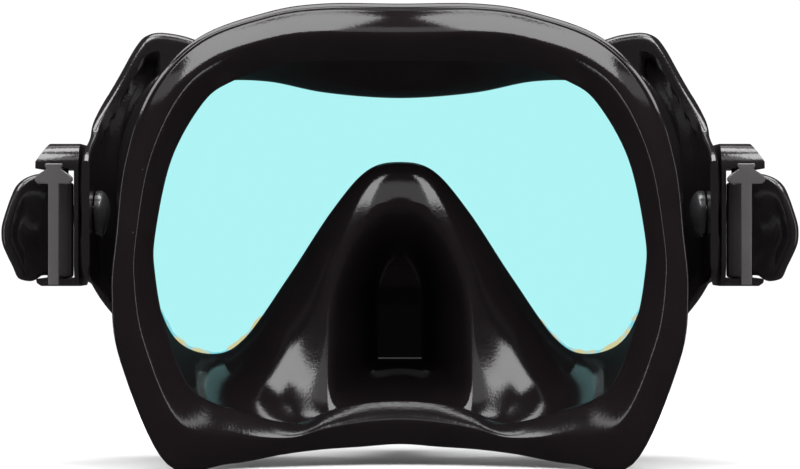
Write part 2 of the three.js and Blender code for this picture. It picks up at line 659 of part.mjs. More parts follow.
// ---- Assembly ----
const SIDE_PIECES = [
  ["pivot_pin", pivotPin, STEEL],
  ["pivot_washer", pivotWasher, NYLON],
  ["pivot_clip", pivotClip, STEEL],
  ["buckle_body", buckleBody, PLASTIC],
  ["strap_roller", strapRoller, PLASTIC],
  ["roller_pin", rollerPin, STEEL],
  ["strap_guide", strapGuide, GREY_PLASTIC],
  ["release_lever", releaseLever, PLASTIC],
  ["lever_pin", leverPin, STEEL],
  ["lever_spring", leverSpring, STEEL],
];

function sideGroup(side) {
  const group = new THREE.Group();
  SIDE_PIECES.forEach(([name, make, material]) => group.add(piece(`${name}_${side}`, make(), material)));
  if (side === "left") group.scale.x = -1;
  return group;
}

const mask = new THREE.Group();
mask.add(lens(), lensBezel(), frontFrame(), skirt(), sideGroup("left"), sideGroup("right"));
mask.position.z = -BRIDGE_Z;

export default mask;
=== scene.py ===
"""A single-lens diving mask, finished over its CAD frame: skirt, lens, bezel, frame and buckles."""

import math

import bmesh
import bpy
import numpy as np
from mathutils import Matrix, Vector


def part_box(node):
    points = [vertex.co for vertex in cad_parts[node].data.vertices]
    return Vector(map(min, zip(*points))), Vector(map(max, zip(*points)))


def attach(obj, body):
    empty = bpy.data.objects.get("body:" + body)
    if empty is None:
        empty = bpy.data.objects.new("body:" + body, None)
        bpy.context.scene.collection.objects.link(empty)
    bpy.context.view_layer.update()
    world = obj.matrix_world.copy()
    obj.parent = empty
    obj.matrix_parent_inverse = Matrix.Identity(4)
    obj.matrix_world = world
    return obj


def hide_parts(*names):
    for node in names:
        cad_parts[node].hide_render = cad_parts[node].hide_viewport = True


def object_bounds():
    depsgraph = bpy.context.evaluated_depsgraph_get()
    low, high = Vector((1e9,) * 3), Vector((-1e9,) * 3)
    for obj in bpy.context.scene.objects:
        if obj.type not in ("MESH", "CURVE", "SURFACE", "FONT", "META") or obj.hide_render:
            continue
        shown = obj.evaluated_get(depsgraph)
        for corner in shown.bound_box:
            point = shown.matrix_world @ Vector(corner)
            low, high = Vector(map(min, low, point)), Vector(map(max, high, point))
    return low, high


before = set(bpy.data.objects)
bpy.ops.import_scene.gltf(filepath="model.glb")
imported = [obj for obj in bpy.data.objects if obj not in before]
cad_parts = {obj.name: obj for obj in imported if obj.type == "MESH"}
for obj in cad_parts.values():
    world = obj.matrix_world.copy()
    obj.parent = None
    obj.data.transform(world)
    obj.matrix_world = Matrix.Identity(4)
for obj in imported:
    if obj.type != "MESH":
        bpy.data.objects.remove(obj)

bl_info = {
    "name": "Diving Mask",
    "version": (1, 0, 0),
    "blender": (4, 5, 0),
    "location": "View3D > Sidebar > Diving Mask",
    "description": "Builds the finished pieces of a diving mask over its CAD frame",
    "category": "Add Mesh",
}

CAD_LOW, CAD_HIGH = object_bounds()
MM = 0.001
SIDES = {"left": -1, "right": 1}

# ---- Outlines that the skirt, lens, bezel and frame share ----
# Shares of half the width and half the height, from the brow's middle round the right half to the
# lip's middle: the lens window, the flange's inner edge and the flange's outer edge.
STATIONS = (
    ((0, 0.613), (0, 0.75), (0, 1)),
    ((0.278, 0.637), (0.278, 0.75), (0.278, 0.997)),
    ((0.5, 0.688), (0.444, 0.727), (0.479, 0.953)),
    ((0.694, 0.683), (0.604, 0.653), (0.715, 0.833)),
    ((0.847, 0.592), (0.701, 0.558), (0.875, 0.608)),
    ((0.938, 0.367), (0.806, 0.317), (0.956, 0.308)),
    ((0.958, 0.067), (0.86, 0), (0.986, 0)),
    ((0.93, -0.217), (0.861, -0.167), (1, -0.245)),
    ((0.847, -0.467), (0.824, -0.408), (0.971, -0.533)),
    ((0.708, -0.54), (0.732, -0.667), (0.819, -0.97)),
    ((0.583, -0.47), (0.554, -0.767), (0.607, -0.982)),
    ((0.417, -0.192), (0.382, -0.817), (0.417, -0.95)),
    ((0.256, 0.102), (0.256, -0.767), (0.285, -0.933)),
    ((0.125, 0.283), (0.131, -0.733), (0.144, -0.923)),
    ((0, 0.323), (0, -0.723), (0, -0.912)),
)
NOTCH_STATION = 11
NOSE_SEGMENT = 10
WINDOW, FLANGE_IN, FLANGE_OUT = 0, 1, 2

SKIRT_LOW, SKIRT_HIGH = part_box("skirt")
HALF_W = (SKIRT_HIGH[0] - SKIRT_LOW[0]) / 2
HALF_H = 60 * MM
# Added to every height, so that Z is 0 halfway up the window on the mask's middle line.
EYE_LINE = -HALF_H * (STATIONS[0][WINDOW][1] + STATIONS[-1][WINDOW][1]) / 2

# ---- Sizes of the moulding, which its CAD solids share ----
BROW_DEPTH = 36 * MM
TEMPLE_SWEEP = 31 * MM
WALL = 1.6 * MM
FLANGE_EDGE = 0.9 * MM
FLANGE_CURL = 4 * MM
RIDGE_SHARE = 0.45
RIDGE_POWER = 1.35
WALL_STRAIGHT = 8 * MM
WALL_START = -9.6 * MM
LIP_FRONT = -4.3 * MM
LIP_BACK = -7 * MM
LIP_EDGE = 2.9 * MM
NOSE_DROP = 11.4 * MM
NOSE_MARGIN = 11 * MM
NOSE_ARCH = 34 * MM
NOSE_ROLL = 13 * MM
NOSE_BRIDGE_Y = 6 * MM
NOSE_TIP_Y = 20 * MM
NOSE_TIP_DROP = 30 * MM
NOSE_FLOOR_RISE = 2 * MM
LENS_THICK = 4 * MM
LENS_STEP = 1.5 * MM
LENS_LEDGE = 2.2 * MM
LENS_HOLD = 3.2 * MM
GAP = 0.3 * MM
FRAME_BACK = -9 * MM
FRAME_INNER = 3.5 * MM
FRAME_OUTER = 8.3 * MM
BACK_LIP = 1.7 * MM
BEZEL_SEAT = 2.4 * MM


# ---- Numbers and curves ----
def smooth_step(value, low, high):
    """0 below low, 1 above high, and a smooth rise between them."""
    share = np.clip((value - low) / (high - low), 0, 1)
    return share * share * (3 - 2 * share)


def mixed(a, b, share):
    """The value that lies a share of the way from a to b."""
    return a + (b - a) * share


def outline_points(column):
    """The closed outline's points in metres."""
    right = [row[column] for row in STATIONS]
    left = [(-x, z) for x, z in reversed(right[1:-1])]
    return np.array([(x * HALF_W, 0, z * HALF_H) for x, z in right + left])


OUTLINES = [outline_points(column) for column in (WINDOW, FLANGE_IN, FLANGE_OUT)]


def outline_at(column, t):
    """Points of a closed outline at the places t, with 0 at the brow's middle."""
    points = OUTLINES[column]
    count = len(points)
    place = np.mod(t, 1.0) * count
    index = np.floor(place).astype(int)
    w = (place - index)[..., None]
    p0, p1, p2, p3 = (points[(index + i) % count] for i in (-1, 0, 1, 2))
    tangent_1, tangent_2 = (p2 - p0) / 2, (p3 - p1) / 2
    a = 2 * p1 - 2 * p2 + tangent_1 + tangent_2
    b = -3 * p1 + 3 * p2 - 2 * tangent_1 - tangent_2
    return ((a * w + b) * w + tangent_1) * w + p1


def window_at(t, outwards=0.0):
    """The lens window's outline, moved outwards in its own plane."""
    step = 1e-4
    along = outline_at(WINDOW, t + step) - outline_at(WINDOW, t - step)
    normal = np.stack([-along[..., 2], along[..., 1] * 0, along[..., 0]], axis=-1)
    normal /= np.linalg.norm(normal, axis=-1, keepdims=True)
    return outline_at(WINDOW, t) + normal * np.asarray(outwards)[..., None]


def places(coarse, fine):
    """Places round the mask, closer together round the nose."""
    segments = 2 * (len(STATIONS) - 1)
    result = []
    for segment in range(segments):
        steps = fine if min(segment, segments - 1 - segment) >= NOSE_SEGMENT else coarse
        result += [(segment + i / steps) / segments for i in range(steps)]
    return np.array(result)


# ---- Mesh helpers ----
def linked_object(name, data):
    """A new object in the scene."""
    made = bpy.data.objects.new(name, data)
    bpy.context.scene.collection.objects.link(made)
    return made


def mesh_object(name, vertices, faces, smooth=True):
    """A new mesh in the scene, with its faces pointing out."""
    mesh = bpy.data.meshes.new(name)
    mesh.from_pydata([tuple(map(float, v)) for v in vertices], [], faces)
    mesh.validate()
    work = bmesh.new()
    work.from_mesh(mesh)
    bmesh.ops.remove_doubles(work, verts=work.verts, dist=1e-7)
    bmesh.ops.recalc_face_normals(work, faces=work.faces)
    work.to_mesh(mesh)
    work.free()
    mesh.polygons.foreach_set("use_smooth", [smooth] * len(mesh.polygons))
    return linked_object(name, mesh)


def grid_faces(rows, columns, close_rows=True, close_columns=True, start=0):
    """Quads over a grid of points that may close on itself either way."""
    faces = []
    for i in range(rows if close_rows else rows - 1):
        for j in range(columns if close_columns else columns - 1):
            a, b = i * columns + j, i * columns + (j + 1) % columns
            c, d = ((i + 1) % rows) * columns + (j + 1) % columns, ((i + 1) % rows) * columns + j
            faces.append((start + a, start + b, start + c, start + d))
    return faces


AXIS_R = 0.01 * MM  # radius at which a turned shape's end reaches its axis


class Shell:
    """Gathers the closed shells of one piece."""

    def __init__(self):
        self.vertices = []
        self.faces = []

    def sweep(self, rings, closed_path=False):
        """A skin through rings of equal length, with flat ends where the path is open."""
        start, columns = len(self.vertices), len(rings[0])
        for ring in rings:
            self.vertices.extend(ring)
        self.faces += grid_faces(len(rings), columns, closed_path, True, start)
        if not closed_path:
            last = start + (len(rings) - 1) * columns
            self.faces.append(tuple(range(start, start + columns)))
            self.faces.append(tuple(reversed(range(last, last + columns))))
        return self

    def lathe(self, profile, axis, centre, sides=64, closed=False):
        """Turns a profile of (radius, distance) about an axis through a centre."""
        rings = []
        for i in range(sides):
            angle = 2 * math.pi * i / sides
            c, s = math.cos(angle), math.sin(angle)
            ring = []
            for radius, along in profile:
                turned = {
                    "x": (along, radius * c, radius * s),
                    "z": (radius * c, radius * s, along),
                }[axis]
                ring.append(tuple(np.add(turned, centre)))
            rings.append(ring)
        start, columns = len(self.vertices), len(profile)
        for ring in rings:
            self.vertices.extend(ring)
        self.faces += grid_faces(sides, columns, True, closed, start)
        return self

    def made(self, name):
        """The finished object."""
        return mesh_object(name, self.vertices, self.faces)


def rounded_profile(corners, radius, steps=4):
    """A closed profile with each corner replaced by an arc no larger than its sides allow."""
    points = [np.array(corner, dtype=float) for corner in corners]
    rounded = []
    for i, corner in enumerate(points):
        before, after = points[i - 1] - corner, points[(i + 1) % len(points)] - corner
        reach = min(radius, np.linalg.norm(before) * 0.45, np.linalg.norm(after) * 0.45)
        start = corner + before / np.linalg.norm(before) * reach
        end = corner + after / np.linalg.norm(after) * reach
        for k in range(steps + 1):
            w = k / steps
            rounded.append((1 - w) ** 2 * start + 2 * w * (1 - w) * corner + w**2 * end)
    return rounded


def turned_profile(radius, low, high, soft, inner=AXIS_R):
    """The outline of a turned bar or tube with chamfered ends, as (radius, distance)."""
    return [
        (inner, low), (radius - soft, low), (radius, low + soft),
        (radius, high - soft), (radius - soft, high), (inner, high),
    ]


def window_sweep(name, profile, rows):
    """Sweeps a closed profile of (outwards, y) round the lens window."""
    t = places(rows, rows * 2)
    columns = [window_at(t, np.full(t.shape, outwards)) for outwards, _ in profile]
    rings = []
    for i in range(len(t)):
        rings.append([
            (column[i][0], y, column[i][2] + EYE_LINE)
            for column, (_, y) in zip(columns, profile)
        ])
    return Shell().sweep(rings, closed_path=True).made(name)


def baked_mesh(piece):
    """The plain mesh that a piece's modifiers give."""
    depsgraph = bpy.context.evaluated_depsgraph_get()
    return bpy.data.meshes.new_from_object(piece.evaluated_get(depsgraph))


def apply_modifiers(piece):
    """Turns a piece with modifiers into a plain mesh."""
    plain = baked_mesh(piece)
    piece.modifiers.clear()
    piece.data = plain


def finished(piece, body, slot, material, *nodes):
    """Gives a piece its material, its body and the CAD nodes that it stands for."""
    piece.data.materials.clear()
    piece.data.materials.append(material)
    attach(piece, body)
    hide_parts(*nodes)


def centre_of(node):
    """The middle of a CAD node's box."""
    low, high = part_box(node)
    return tuple((a + b) / 2 for a, b in zip(low, high))


# ---- Shader nodes ----
class Value:
    """A shader socket that adds Math nodes when it is used in arithmetic."""

    def __init__(self, kit, socket):
        self.kit, self.socket = kit, socket

    def _math(self, operation, *values):
        made = self.kit.node("ShaderNodeMath", {"operation": operation}, dict(enumerate(values)))
        return Value(self.kit, made.outputs[0])

    def __add__(self, other):
        return self._math("ADD", self, other)

    def __sub__(self, other):
        return self._math("SUBTRACT", self, other)

    def __mul__(self, other):
        return self._math("MULTIPLY", self, other)

    def __rsub__(self, other):
        return self._math("SUBTRACT", other, self)

    def over(self, threshold):
        """1 where the value is above the threshold, 0 elsewhere."""
        return self._math("GREATER_THAN", self, threshold)

    def clamped(self):
        """The value held between 0 and 1."""
        return self._math("MINIMUM", self._math("MAXIMUM", self, 0.0), 1.0)

    __radd__ = __add__
    __rmul__ = __mul__


class Finish:
    """Builds one material's node tree."""

    def __init__(self, name):
        self.material = bpy.data.materials.new(name)
        self.material.use_nodes = True
        self.tree = self.material.node_tree
        self.tree.nodes.clear()
        self.coordinates = self.node("ShaderNodeTexCoord").outputs["Object"]

    def node(self, kind, settings=None, inputs=None):
        """Adds any node with its settings and its sockets' values or links."""
        made = self.tree.nodes.new(kind)
        for key, value in (settings or {}).items():
            if key == "stops":
                self._set_stops(made.color_ramp, value)
            else:
                setattr(made, key, value)
        for key, value in (inputs or {}).items():
            if isinstance(value, Value):
                value = value.socket
            if isinstance(value, bpy.types.NodeSocket):
                self.tree.links.new(value, made.inputs[key])
            else:
                made.inputs[key].default_value = value
        return made

    @staticmethod
    def _set_stops(ramp, stops):
        for element, (position, colour) in zip(ramp.elements, stops):
            element.position, element.color = position, colour
        for position, colour in stops[len(ramp.elements):]:
            ramp.elements.new(position).color = colour

    def mapped(self, scale=(1, 1, 1)):
        """Object coordinates through a Mapping node."""
        inputs = {"Vector": self.coordinates, "Scale": scale}
        return self.node("ShaderNodeMapping", inputs=inputs).outputs["Vector"]

    def noise(self, scale, detail, roughness=0.5, stretch=(1, 1, 1)):
        """Noise with features of about 1 / scale metres."""
        inputs = {
            "Vector": self.mapped(stretch), "Scale": scale, "Detail": detail, "Roughness": roughness,
        }
        return Value(self, self.node("ShaderNodeTexNoise", inputs=inputs).outputs["Fac"])

    def specks(self, scale, radius, bare=0.8):
        """Small round dots, with none in the bare share of the cells."""
        inputs = {"Vector": self.mapped(), "Scale": scale, "Randomness": 1.0}
        cells = self.node("ShaderNodeTexVoronoi", inputs=inputs)
        near = 1.0 - Value(self, cells.outputs["Distance"]).over(radius)
        parts = self.node("ShaderNodeSeparateColor", inputs={"Color": cells.outputs["Color"]})
        return near * Value(self, parts.outputs[0]).over(bare)

    def ramp(self, value, stops):
        """A colour ramp over a value."""
        made = self.node("ShaderNodeValToRGB", {"stops": stops}, {"Fac": value})
        return made.outputs["Color"]

    def blend(self, factor, first, second):
        """One colour fading into another."""
        inputs = {0: factor, 6: first, 7: second}
        return self.node("ShaderNodeMix", {"data_type": "RGBA"}, inputs).outputs[2]

    def attribute(self, name):
        """A value stored on the mesh."""
        made = self.node("ShaderNodeAttribute", {"attribute_name": name})
        return Value(self, made.outputs["Fac"])

    def bump(self, height, distance):
        """A normal tilted by a height."""
        inputs = {"Height": height, "Distance": distance}
        return self.node("ShaderNodeBump", inputs=inputs).outputs["Normal"]

    def surface(self, **inputs):
        """The Principled surface that ends the tree."""
        named = {key.replace("_", " "): value for key, value in inputs.items()}
        shader = self.node("ShaderNodeBsdfPrincipled", inputs=named)
        self.node("ShaderNodeOutputMaterial", inputs={"Surface": shader.outputs[0]})
        return self.material


# Colours that aren't among the settings: dust, bare steel, the lens's coating from blue to amber, the
# pivots' and washers' dark plastics and the floor.
DUST = (0.2, 0.19, 0.18, 1)
STEEL_DARK, STEEL_LIGHT = (0.32, 0.33, 0.35, 1), (0.52, 0.53, 0.55, 1)
COATING = (
    (0.0, (0.04, 0.22, 0.45, 1)), (0.45, (0.1, 0.5, 0.6, 1)),
    (0.55, (0.9, 0.42, 0.12, 1)), (1.0, (0.75, 0.3, 0.1, 1)),
)
PIVOT_COLOUR = (0.03, 0.029, 0.031, 1)
WASHER_COLOUR = (0.025, 0.024, 0.026, 1)
FLOOR_PALE, FLOOR_DIM = (0.74, 0.74, 0.74, 1), (0.7, 0.7, 0.7, 1)


def shade(colour, factor):
    """A colour made lighter or darker, with an alpha of 1."""
    return (*(min(channel * factor, 1.0) for channel in colour[:3]), 1.0)


def silicone(colours):
    """Glossy moulded silicone: a warm black with handling marks, dust and a matte sealing band."""
    finish = Finish("skirt_silicone")
    cloud = finish.noise(scale=60, detail=4)
    marks = finish.noise(scale=240, detail=5, roughness=0.6)
    grain = finish.noise(scale=1500, detail=2)
    dust = finish.specks(scale=420, radius=0.035)
    seal = finish.attribute("seal")
    base = finish.blend(cloud, shade(colours.silicone, 0.8), shade(colours.silicone, 1.35))
    return finish.surface(
        Base_Color=finish.blend(dust * 0.5, base, DUST),
        Roughness=colours.silicone_roughness + marks * 0.06 + seal * 0.04 + dust * 0.3,
        Normal=finish.bump(grain * (seal * 0.15 + 0.1), distance=0.12 * MM),
        IOR=1.43,
        Specular_IOR_Level=0.4,
    )


def moulded_plastic(name, colour, roughness, grain_scale=1200, scuffing=0.06):
    """Moulded plastic with faint flow marks and fine grain."""
    finish = Finish(name)
    flow = finish.noise(scale=90, detail=3, stretch=(1, 0.4, 1))
    scuffs = finish.noise(scale=500, detail=6, roughness=0.7)
    grain = finish.noise(scale=grain_scale, detail=2)
    return finish.surface(
        Base_Color=finish.blend(flow, shade(colour, 0.85), shade(colour, 1.25)),
        Roughness=roughness + scuffs * scuffing + flow * 0.05,
        Normal=finish.bump(grain, distance=0.04 * MM),
        Coat_Roughness=0.08,
        Coat_Weight=0.15,
    )


def steel():
    """Drawn steel wire and pins."""
    finish = Finish("pin_steel")
    drawn = finish.noise(scale=900, detail=4, roughness=0.6, stretch=(1, 1, 0.08))
    return finish.surface(
        Base_Color=finish.blend(drawn, STEEL_DARK, STEEL_LIGHT),
        Roughness=0.22 + drawn * 0.16,
        Metallic=1.0,
        Normal=finish.bump(drawn, distance=0.03 * MM),
    )


def tinted_glass(colours):
    """Cyan-tinted glass with a coating that shows amber and blue patches at its lower corners."""
    finish = Finish("lens_glass")
    smears = finish.noise(scale=35, detail=4, roughness=0.6)
    split = finish.noise(scale=170, detail=2)
    edge, corner = finish.attribute("edge"), finish.attribute("corner")
    tint = finish.blend(smears * 0.05, colours.lens, shade(colours.lens, 0.93))
    patches = ((edge * corner + split * 0.8 - 0.98) * 12).clamped()
    return finish.surface(
        Base_Color=finish.blend(patches, tint, finish.ramp(split, COATING)),
        Roughness=0.01 + smears * 0.02,
        Transmission_Weight=1.0,
        IOR=1.3,
        Specular_IOR_Level=0.3,
    )


# ---- Settings ----
class MaskColours(bpy.types.PropertyGroup):
    """Colours and gloss that a user would change."""

    silicone: bpy.props.FloatVectorProperty(
        name="Silicone", description="Colour of the skirt", subtype="COLOR", size=4,
        min=0, max=1, default=(0.0062, 0.0047, 0.0051, 1),
    )
    silicone_roughness: bpy.props.FloatProperty(
        name="Silicone roughness", description="Roughness of the skirt's glossy walls",
        min=0, max=1, default=0.07, subtype="FACTOR",
    )
    plastic: bpy.props.FloatVectorProperty(
        name="Plastic", description="Colour of the frame, bezel and buckles", subtype="COLOR",
        size=4, min=0, max=1, default=(0.009, 0.0076, 0.0079, 1),
    )
    guide: bpy.props.FloatVectorProperty(
        name="Strap guide", description="Colour of the strap guides", subtype="COLOR", size=4,
        min=0, max=1, default=(0.06, 0.056, 0.058, 1),
    )
    lens: bpy.props.FloatVectorProperty(
        name="Lens tint", description="Colour of the light that the lens lets through",
        subtype="COLOR", size=4, min=0, max=1, default=(0.424, 0.887, 0.897, 1),
    )


class MaskSizes(bpy.types.PropertyGroup):
    """Finishing sizes that a user would change."""

    edge_bead: bpy.props.FloatProperty(
        name="Edge bead", description="Height of the bead near the skirt's outer edge",
        default=0.4 * MM, min=0, max=1 * MM, unit="LENGTH",
    )
    bezel_round: bpy.props.FloatProperty(
        name="Bezel rounding", description="Radius of the bezel's edges",
        default=0.35 * MM, min=0, max=0.55 * MM, unit="LENGTH",
    )
    frame_round: bpy.props.FloatProperty(
        name="Frame rounding", description="Radius of the frame rim's edges",
        default=1.3 * MM, min=0.1 * MM, max=2 * MM, unit="LENGTH",
    )
    arm_edge: bpy.props.FloatProperty(
        name="Arm edge", description="Radius of the side arms' edges",
        default=2.2 * MM, min=0.1 * MM, max=3 * MM, unit="LENGTH",
    )
    edge_round: bpy.props.FloatProperty(
        name="Buckle rounding", description="Radius of the buckle parts' edges",
        default=0.35 * MM, min=0.05 * MM, max=0.6 * MM, unit="LENGTH",
    )
    spring_wire: bpy.props.FloatProperty(
        name="Spring wire", description="Radius of the return spring's wire",
        default=0.35 * MM, min=0.1 * MM, max=0.5 * MM, unit="LENGTH",
    )
    spring_turns: bpy.props.FloatProperty(
        name="Spring turns", description="Turns in each return spring", default=5.0, min=2, max=8,
    )
    paddle_dish: bpy.props.FloatProperty(
        name="Paddle dish", description="Depth of the hollow in each release lever's paddle",
        default=0.7 * MM, min=0, max=1.2 * MM, unit="LENGTH",
    )


# ---- Skirt ----
# Shares of the flange's width: the bead and its spread, the underside's limits at the wall's root, and
# where the matte seal ends.
BEAD_SHARE = 0.93
BEAD_SPREAD = 0.025
ROOT_IN = RIDGE_SHARE * 0.8
ROOT_OUT = RIDGE_SHARE * 1.25
SEAL_END = (RIDGE_SHARE - 0.06, RIDGE_SHARE + 0.04)
EDGE_BULGE = 0.35
TINY = 1e-6


def face_depth(x):
    """Y of the flange's ridge, which follows a face."""
    return -(BROW_DEPTH + TEMPLE_SWEEP * (x / HALF_W) ** 2)


def flange_points(t, share, under=False, bead=0.0):
    """Points of the flange: share 0 is its inner edge and 1 its outer one."""
    inner, outer = outline_at(FLANGE_IN, t), outline_at(FLANGE_OUT, t)
    point = mixed(inner, outer, share[..., None])
    side = np.where(share < RIDGE_SHARE, RIDGE_SHARE, 1 - RIDGE_SHARE)
    away = np.abs(share - RIDGE_SHARE) / side
    point[..., 1] = face_depth(point[..., 0]) + FLANGE_CURL * away**RIDGE_POWER
    if under:
        point[..., 1] += mixed(WALL, FLANGE_EDGE, away)
    else:
        point[..., 1] -= bead * np.exp(-(((share - BEAD_SHARE) / BEAD_SPREAD) ** 2))
    return point


def pocket_share(x, z):
    """How far a point lies inside the nose pocket, from 0 outside to 1 on its front."""
    top = HALF_H * STATIONS[-1][WINDOW][1] - NOSE_DROP
    half_width = STATIONS[NOTCH_STATION][WINDOW][0] * HALF_W - NOSE_MARGIN
    above = np.maximum(z - (top - NOSE_ARCH), 0)
    out = np.hypot(x / half_width, above / NOSE_ARCH)
    slope = np.maximum(np.hypot(x / half_width**2, above / NOSE_ARCH**2), TINY)
    inside = np.where(out > TINY, (1 - out) * out / slope, half_width)
    floor = HALF_H * STATIONS[-1][FLANGE_IN][1] + NOSE_FLOOR_RISE - NOSE_ROLL / 2
    return smooth_step(inside, 0, NOSE_ROLL) * smooth_step(z, floor, floor + NOSE_ROLL)


def pocket_front(z):
    """Y of the nose pocket's front at a height."""
    top = HALF_H * STATIONS[-1][WINDOW][1] - NOSE_DROP
    return mixed(NOSE_BRIDGE_Y, NOSE_TIP_Y, smooth_step(top - z, 0, NOSE_TIP_DROP))


def wall_points(t, share):
    """The wall's inner surface: share 0 is at the lens and 1 under the flange's ridge."""
    start = outline_at(WINDOW, t)
    start[..., 1] = WALL_START
    band = np.linalg.norm(outline_at(FLANGE_OUT, t) - outline_at(FLANGE_IN, t), axis=-1)
    end = flange_points(t, RIDGE_SHARE - WALL / 2 / band, under=True)
    leave, arrive = start.copy(), end.copy()
    leave[..., 1] -= WALL_STRAIGHT
    arrive[..., 1] += WALL_STRAIGHT
    w = share[..., None]
    point = (
        (1 - w) ** 3 * start + 3 * (1 - w) ** 2 * w * leave
        + 3 * (1 - w) * w**2 * arrive + w**3 * end
    )
    x, z = point[..., 0], point[..., 2]
    point[..., 1] = mixed(point[..., 1], pocket_front(z), pocket_share(x, z))
    return point


def wall_outer_points(t, share):
    """The wall's outer surface, one wall thickness from the inner one."""
    step = 1e-3
    along = wall_points(t, np.minimum(share + step, 1)) - wall_points(t, np.maximum(share - step, 0))
    around = wall_points(t + step, share) - wall_points(t - step, share)
    normal = np.cross(along, around)
    normal /= np.linalg.norm(normal, axis=-1, keepdims=True)
    return wall_points(t, share) + normal * WALL


def lip_column(t, outwards, y):
    """One line of the clamping lip round the window."""
    column = window_at(t, np.full(t.shape, outwards))
    column[:, 1] = y
    return column[:, None, :]


def section_grid(t, shares):
    """Every place round the mask with every share of a section, as two arrays."""
    return np.meshgrid(t, shares, indexing="ij")


def rounded_edge(under, upper, further):
    """A line of points that rounds off the flange's edge between its two faces."""
    return mixed(under, upper, 0.5) + (upper - further) * EDGE_BULGE


def skirt_grid(bead):
    """The skirt's points as rows round the mask and columns round its section, and its seal mask."""
    t = places(8, 18)
    wall, top = np.linspace(0, 1, 45), np.linspace(0, 1, 36)
    upper = flange_points(*section_grid(t, top), bead=bead)
    inner_under = flange_points(*section_grid(t, np.linspace(ROOT_IN, 0, 8)), under=True)
    outer_under = flange_points(*section_grid(t, np.linspace(1, ROOT_OUT, 10)), under=True)
    in_edge = rounded_edge(inner_under[:, -1:], upper[:, :1], upper[:, 1:2])
    out_edge = rounded_edge(outer_under[:, :1], upper[:, -1:], upper[:, -2:-1])
    blocks = (
        # points, how matte they are
        (lip_column(t, 0, LIP_FRONT), 0),
        (wall_points(*section_grid(t, wall)), 0),
        (inner_under, 1),
        (in_edge, 1),
        (upper, 1 - smooth_step(top, *SEAL_END)),
        (out_edge, 0),
        (outer_under, 0),
        (wall_outer_points(*section_grid(t, wall))[:, ::-1], 0),
        (lip_column(t, WALL, LIP_BACK), 0),
        (lip_column(t, LIP_EDGE, LIP_BACK), 0),
        (lip_column(t, LIP_EDGE, LIP_FRONT), 0),
    )
    points = np.concatenate([block for block, _ in blocks], axis=1)
    points[..., 2] += EYE_LINE
    seal = np.concatenate([np.broadcast_to(matte, block.shape[1]) for block, matte in blocks])
    return points, np.broadcast_to(seal, points.shape[:2]).astype(float)


def build_skirt(sizes, colours):
    """The one-piece silicone skirt with its clamping lip, nose pocket and face flange."""
    points, seal = skirt_grid(sizes.edge_bead)
    skirt = mesh_object("face_skirt", points.reshape(-1, 3), grid_faces(*points.shape[:2]))
    skirt.data.attributes.new("seal", "FLOAT", "POINT").data.foreach_set("value", seal.ravel())
    finished(skirt, "mask", "skirt_silicone", silicone(colours), "skirt")


# ---- Lens ----
LENS_SOFT = 0.25 * MM
LENS_RIM = 4 * MM  # width of the pane's outer band, over which its coating shows
CORNER_DROP = (12 * MM, 24 * MM)
CORNER_OUT = (30 * MM, 40 * MM)


def build_lens(colours):
    """The ground pane with its ledge for the bezel."""
    t = places(8, 14)
    face = LENS_HOLD - LENS_LEDGE
    profile = [
        (face - LENS_RIM, 0), (face - LENS_SOFT, 0), (face, -LENS_SOFT), (face, -LENS_STEP),
        (LENS_HOLD - LENS_SOFT, -LENS_STEP), (LENS_HOLD, -LENS_STEP - LENS_SOFT),
        (LENS_HOLD, LENS_SOFT - LENS_THICK), (LENS_HOLD - LENS_SOFT, -LENS_THICK),
        (face - LENS_RIM, -LENS_THICK),
    ]
    columns = [window_at(t, np.full(t.shape, outwards)) for outwards, _ in profile]
    rows, count = len(t), len(profile)
    vertices = []
    for i in range(rows):
        for column, (_, y) in zip(columns, profile):
            vertices.append((column[i][0], y, column[i][2] + EYE_LINE))
    faces = grid_faces(rows, count, True, False)
    faces.append(tuple(i * count for i in range(rows)))
    faces.append(tuple(i * count + count - 1 for i in reversed(range(rows))))
    lens = mesh_object("lens_pane", vertices, faces)
    lens.data.set_sharp_from_angle(angle=math.radians(35))
    edge = [float(i % count not in (0, count - 1)) for i in range(len(vertices))]
    corner = [
        float(smooth_step(EYE_LINE - z, *CORNER_DROP) * smooth_step(abs(x), *CORNER_OUT))
        for x, _, z in vertices
    ]
    for name, values in (("edge", edge), ("corner", corner)):
        lens.data.attributes.new(name, "FLOAT", "POINT").data.foreach_set("value", values)
    finished(lens, "mask", "lens_glass", tinted_glass(colours), "lens")


# ---- Node trees of the bezel and the springs ----
def new_tree(name, inputs, output):
    """An empty geometry node tree with named inputs, and the sockets at its two ends."""
    tree = bpy.data.node_groups.new(name, "GeometryNodeTree")
    for label, kind in inputs.items():
        tree.interface.new_socket(label, in_out="INPUT", socket_type=f"NodeSocket{kind}")
    tree.interface.new_socket(output, in_out="OUTPUT", socket_type="NodeSocketGeometry")
    source, target = tree.nodes.new("NodeGroupInput"), tree.nodes.new("NodeGroupOutput")
    return tree, source.outputs, target.inputs[output]


def end_tree(tree, mesh, material, target):
    """Smooths a tree's mesh, realizes its instances, gives it a material and links it out."""
    smooth = tree.nodes.new("GeometryNodeSetShadeSmooth")
    realize = tree.nodes.new("GeometryNodeRealizeInstances")
    dress = tree.nodes.new("GeometryNodeSetMaterial")
    dress.inputs["Material"].default_value = material
    tree.links.new(mesh, smooth.inputs["Geometry"])
    tree.links.new(smooth.outputs["Geometry"], realize.inputs["Geometry"])
    tree.links.new(realize.outputs["Geometry"], dress.inputs["Geometry"])
    tree.links.new(dress.outputs["Geometry"], target)


def tree_mesh(holder, tree, values):
    """The plain mesh that a tree makes from a holder with these inputs. The holder is taken away."""
    modifier = holder.modifiers.new(tree.name, "NODES")
    modifier.node_group = tree
    for item in tree.interface.items_tree:
        if item.in_out == "INPUT" and item.name in values:
            modifier[item.identifier] = values[item.name]
    plain = baked_mesh(holder)
    bpy.data.objects.remove(holder)
    return plain


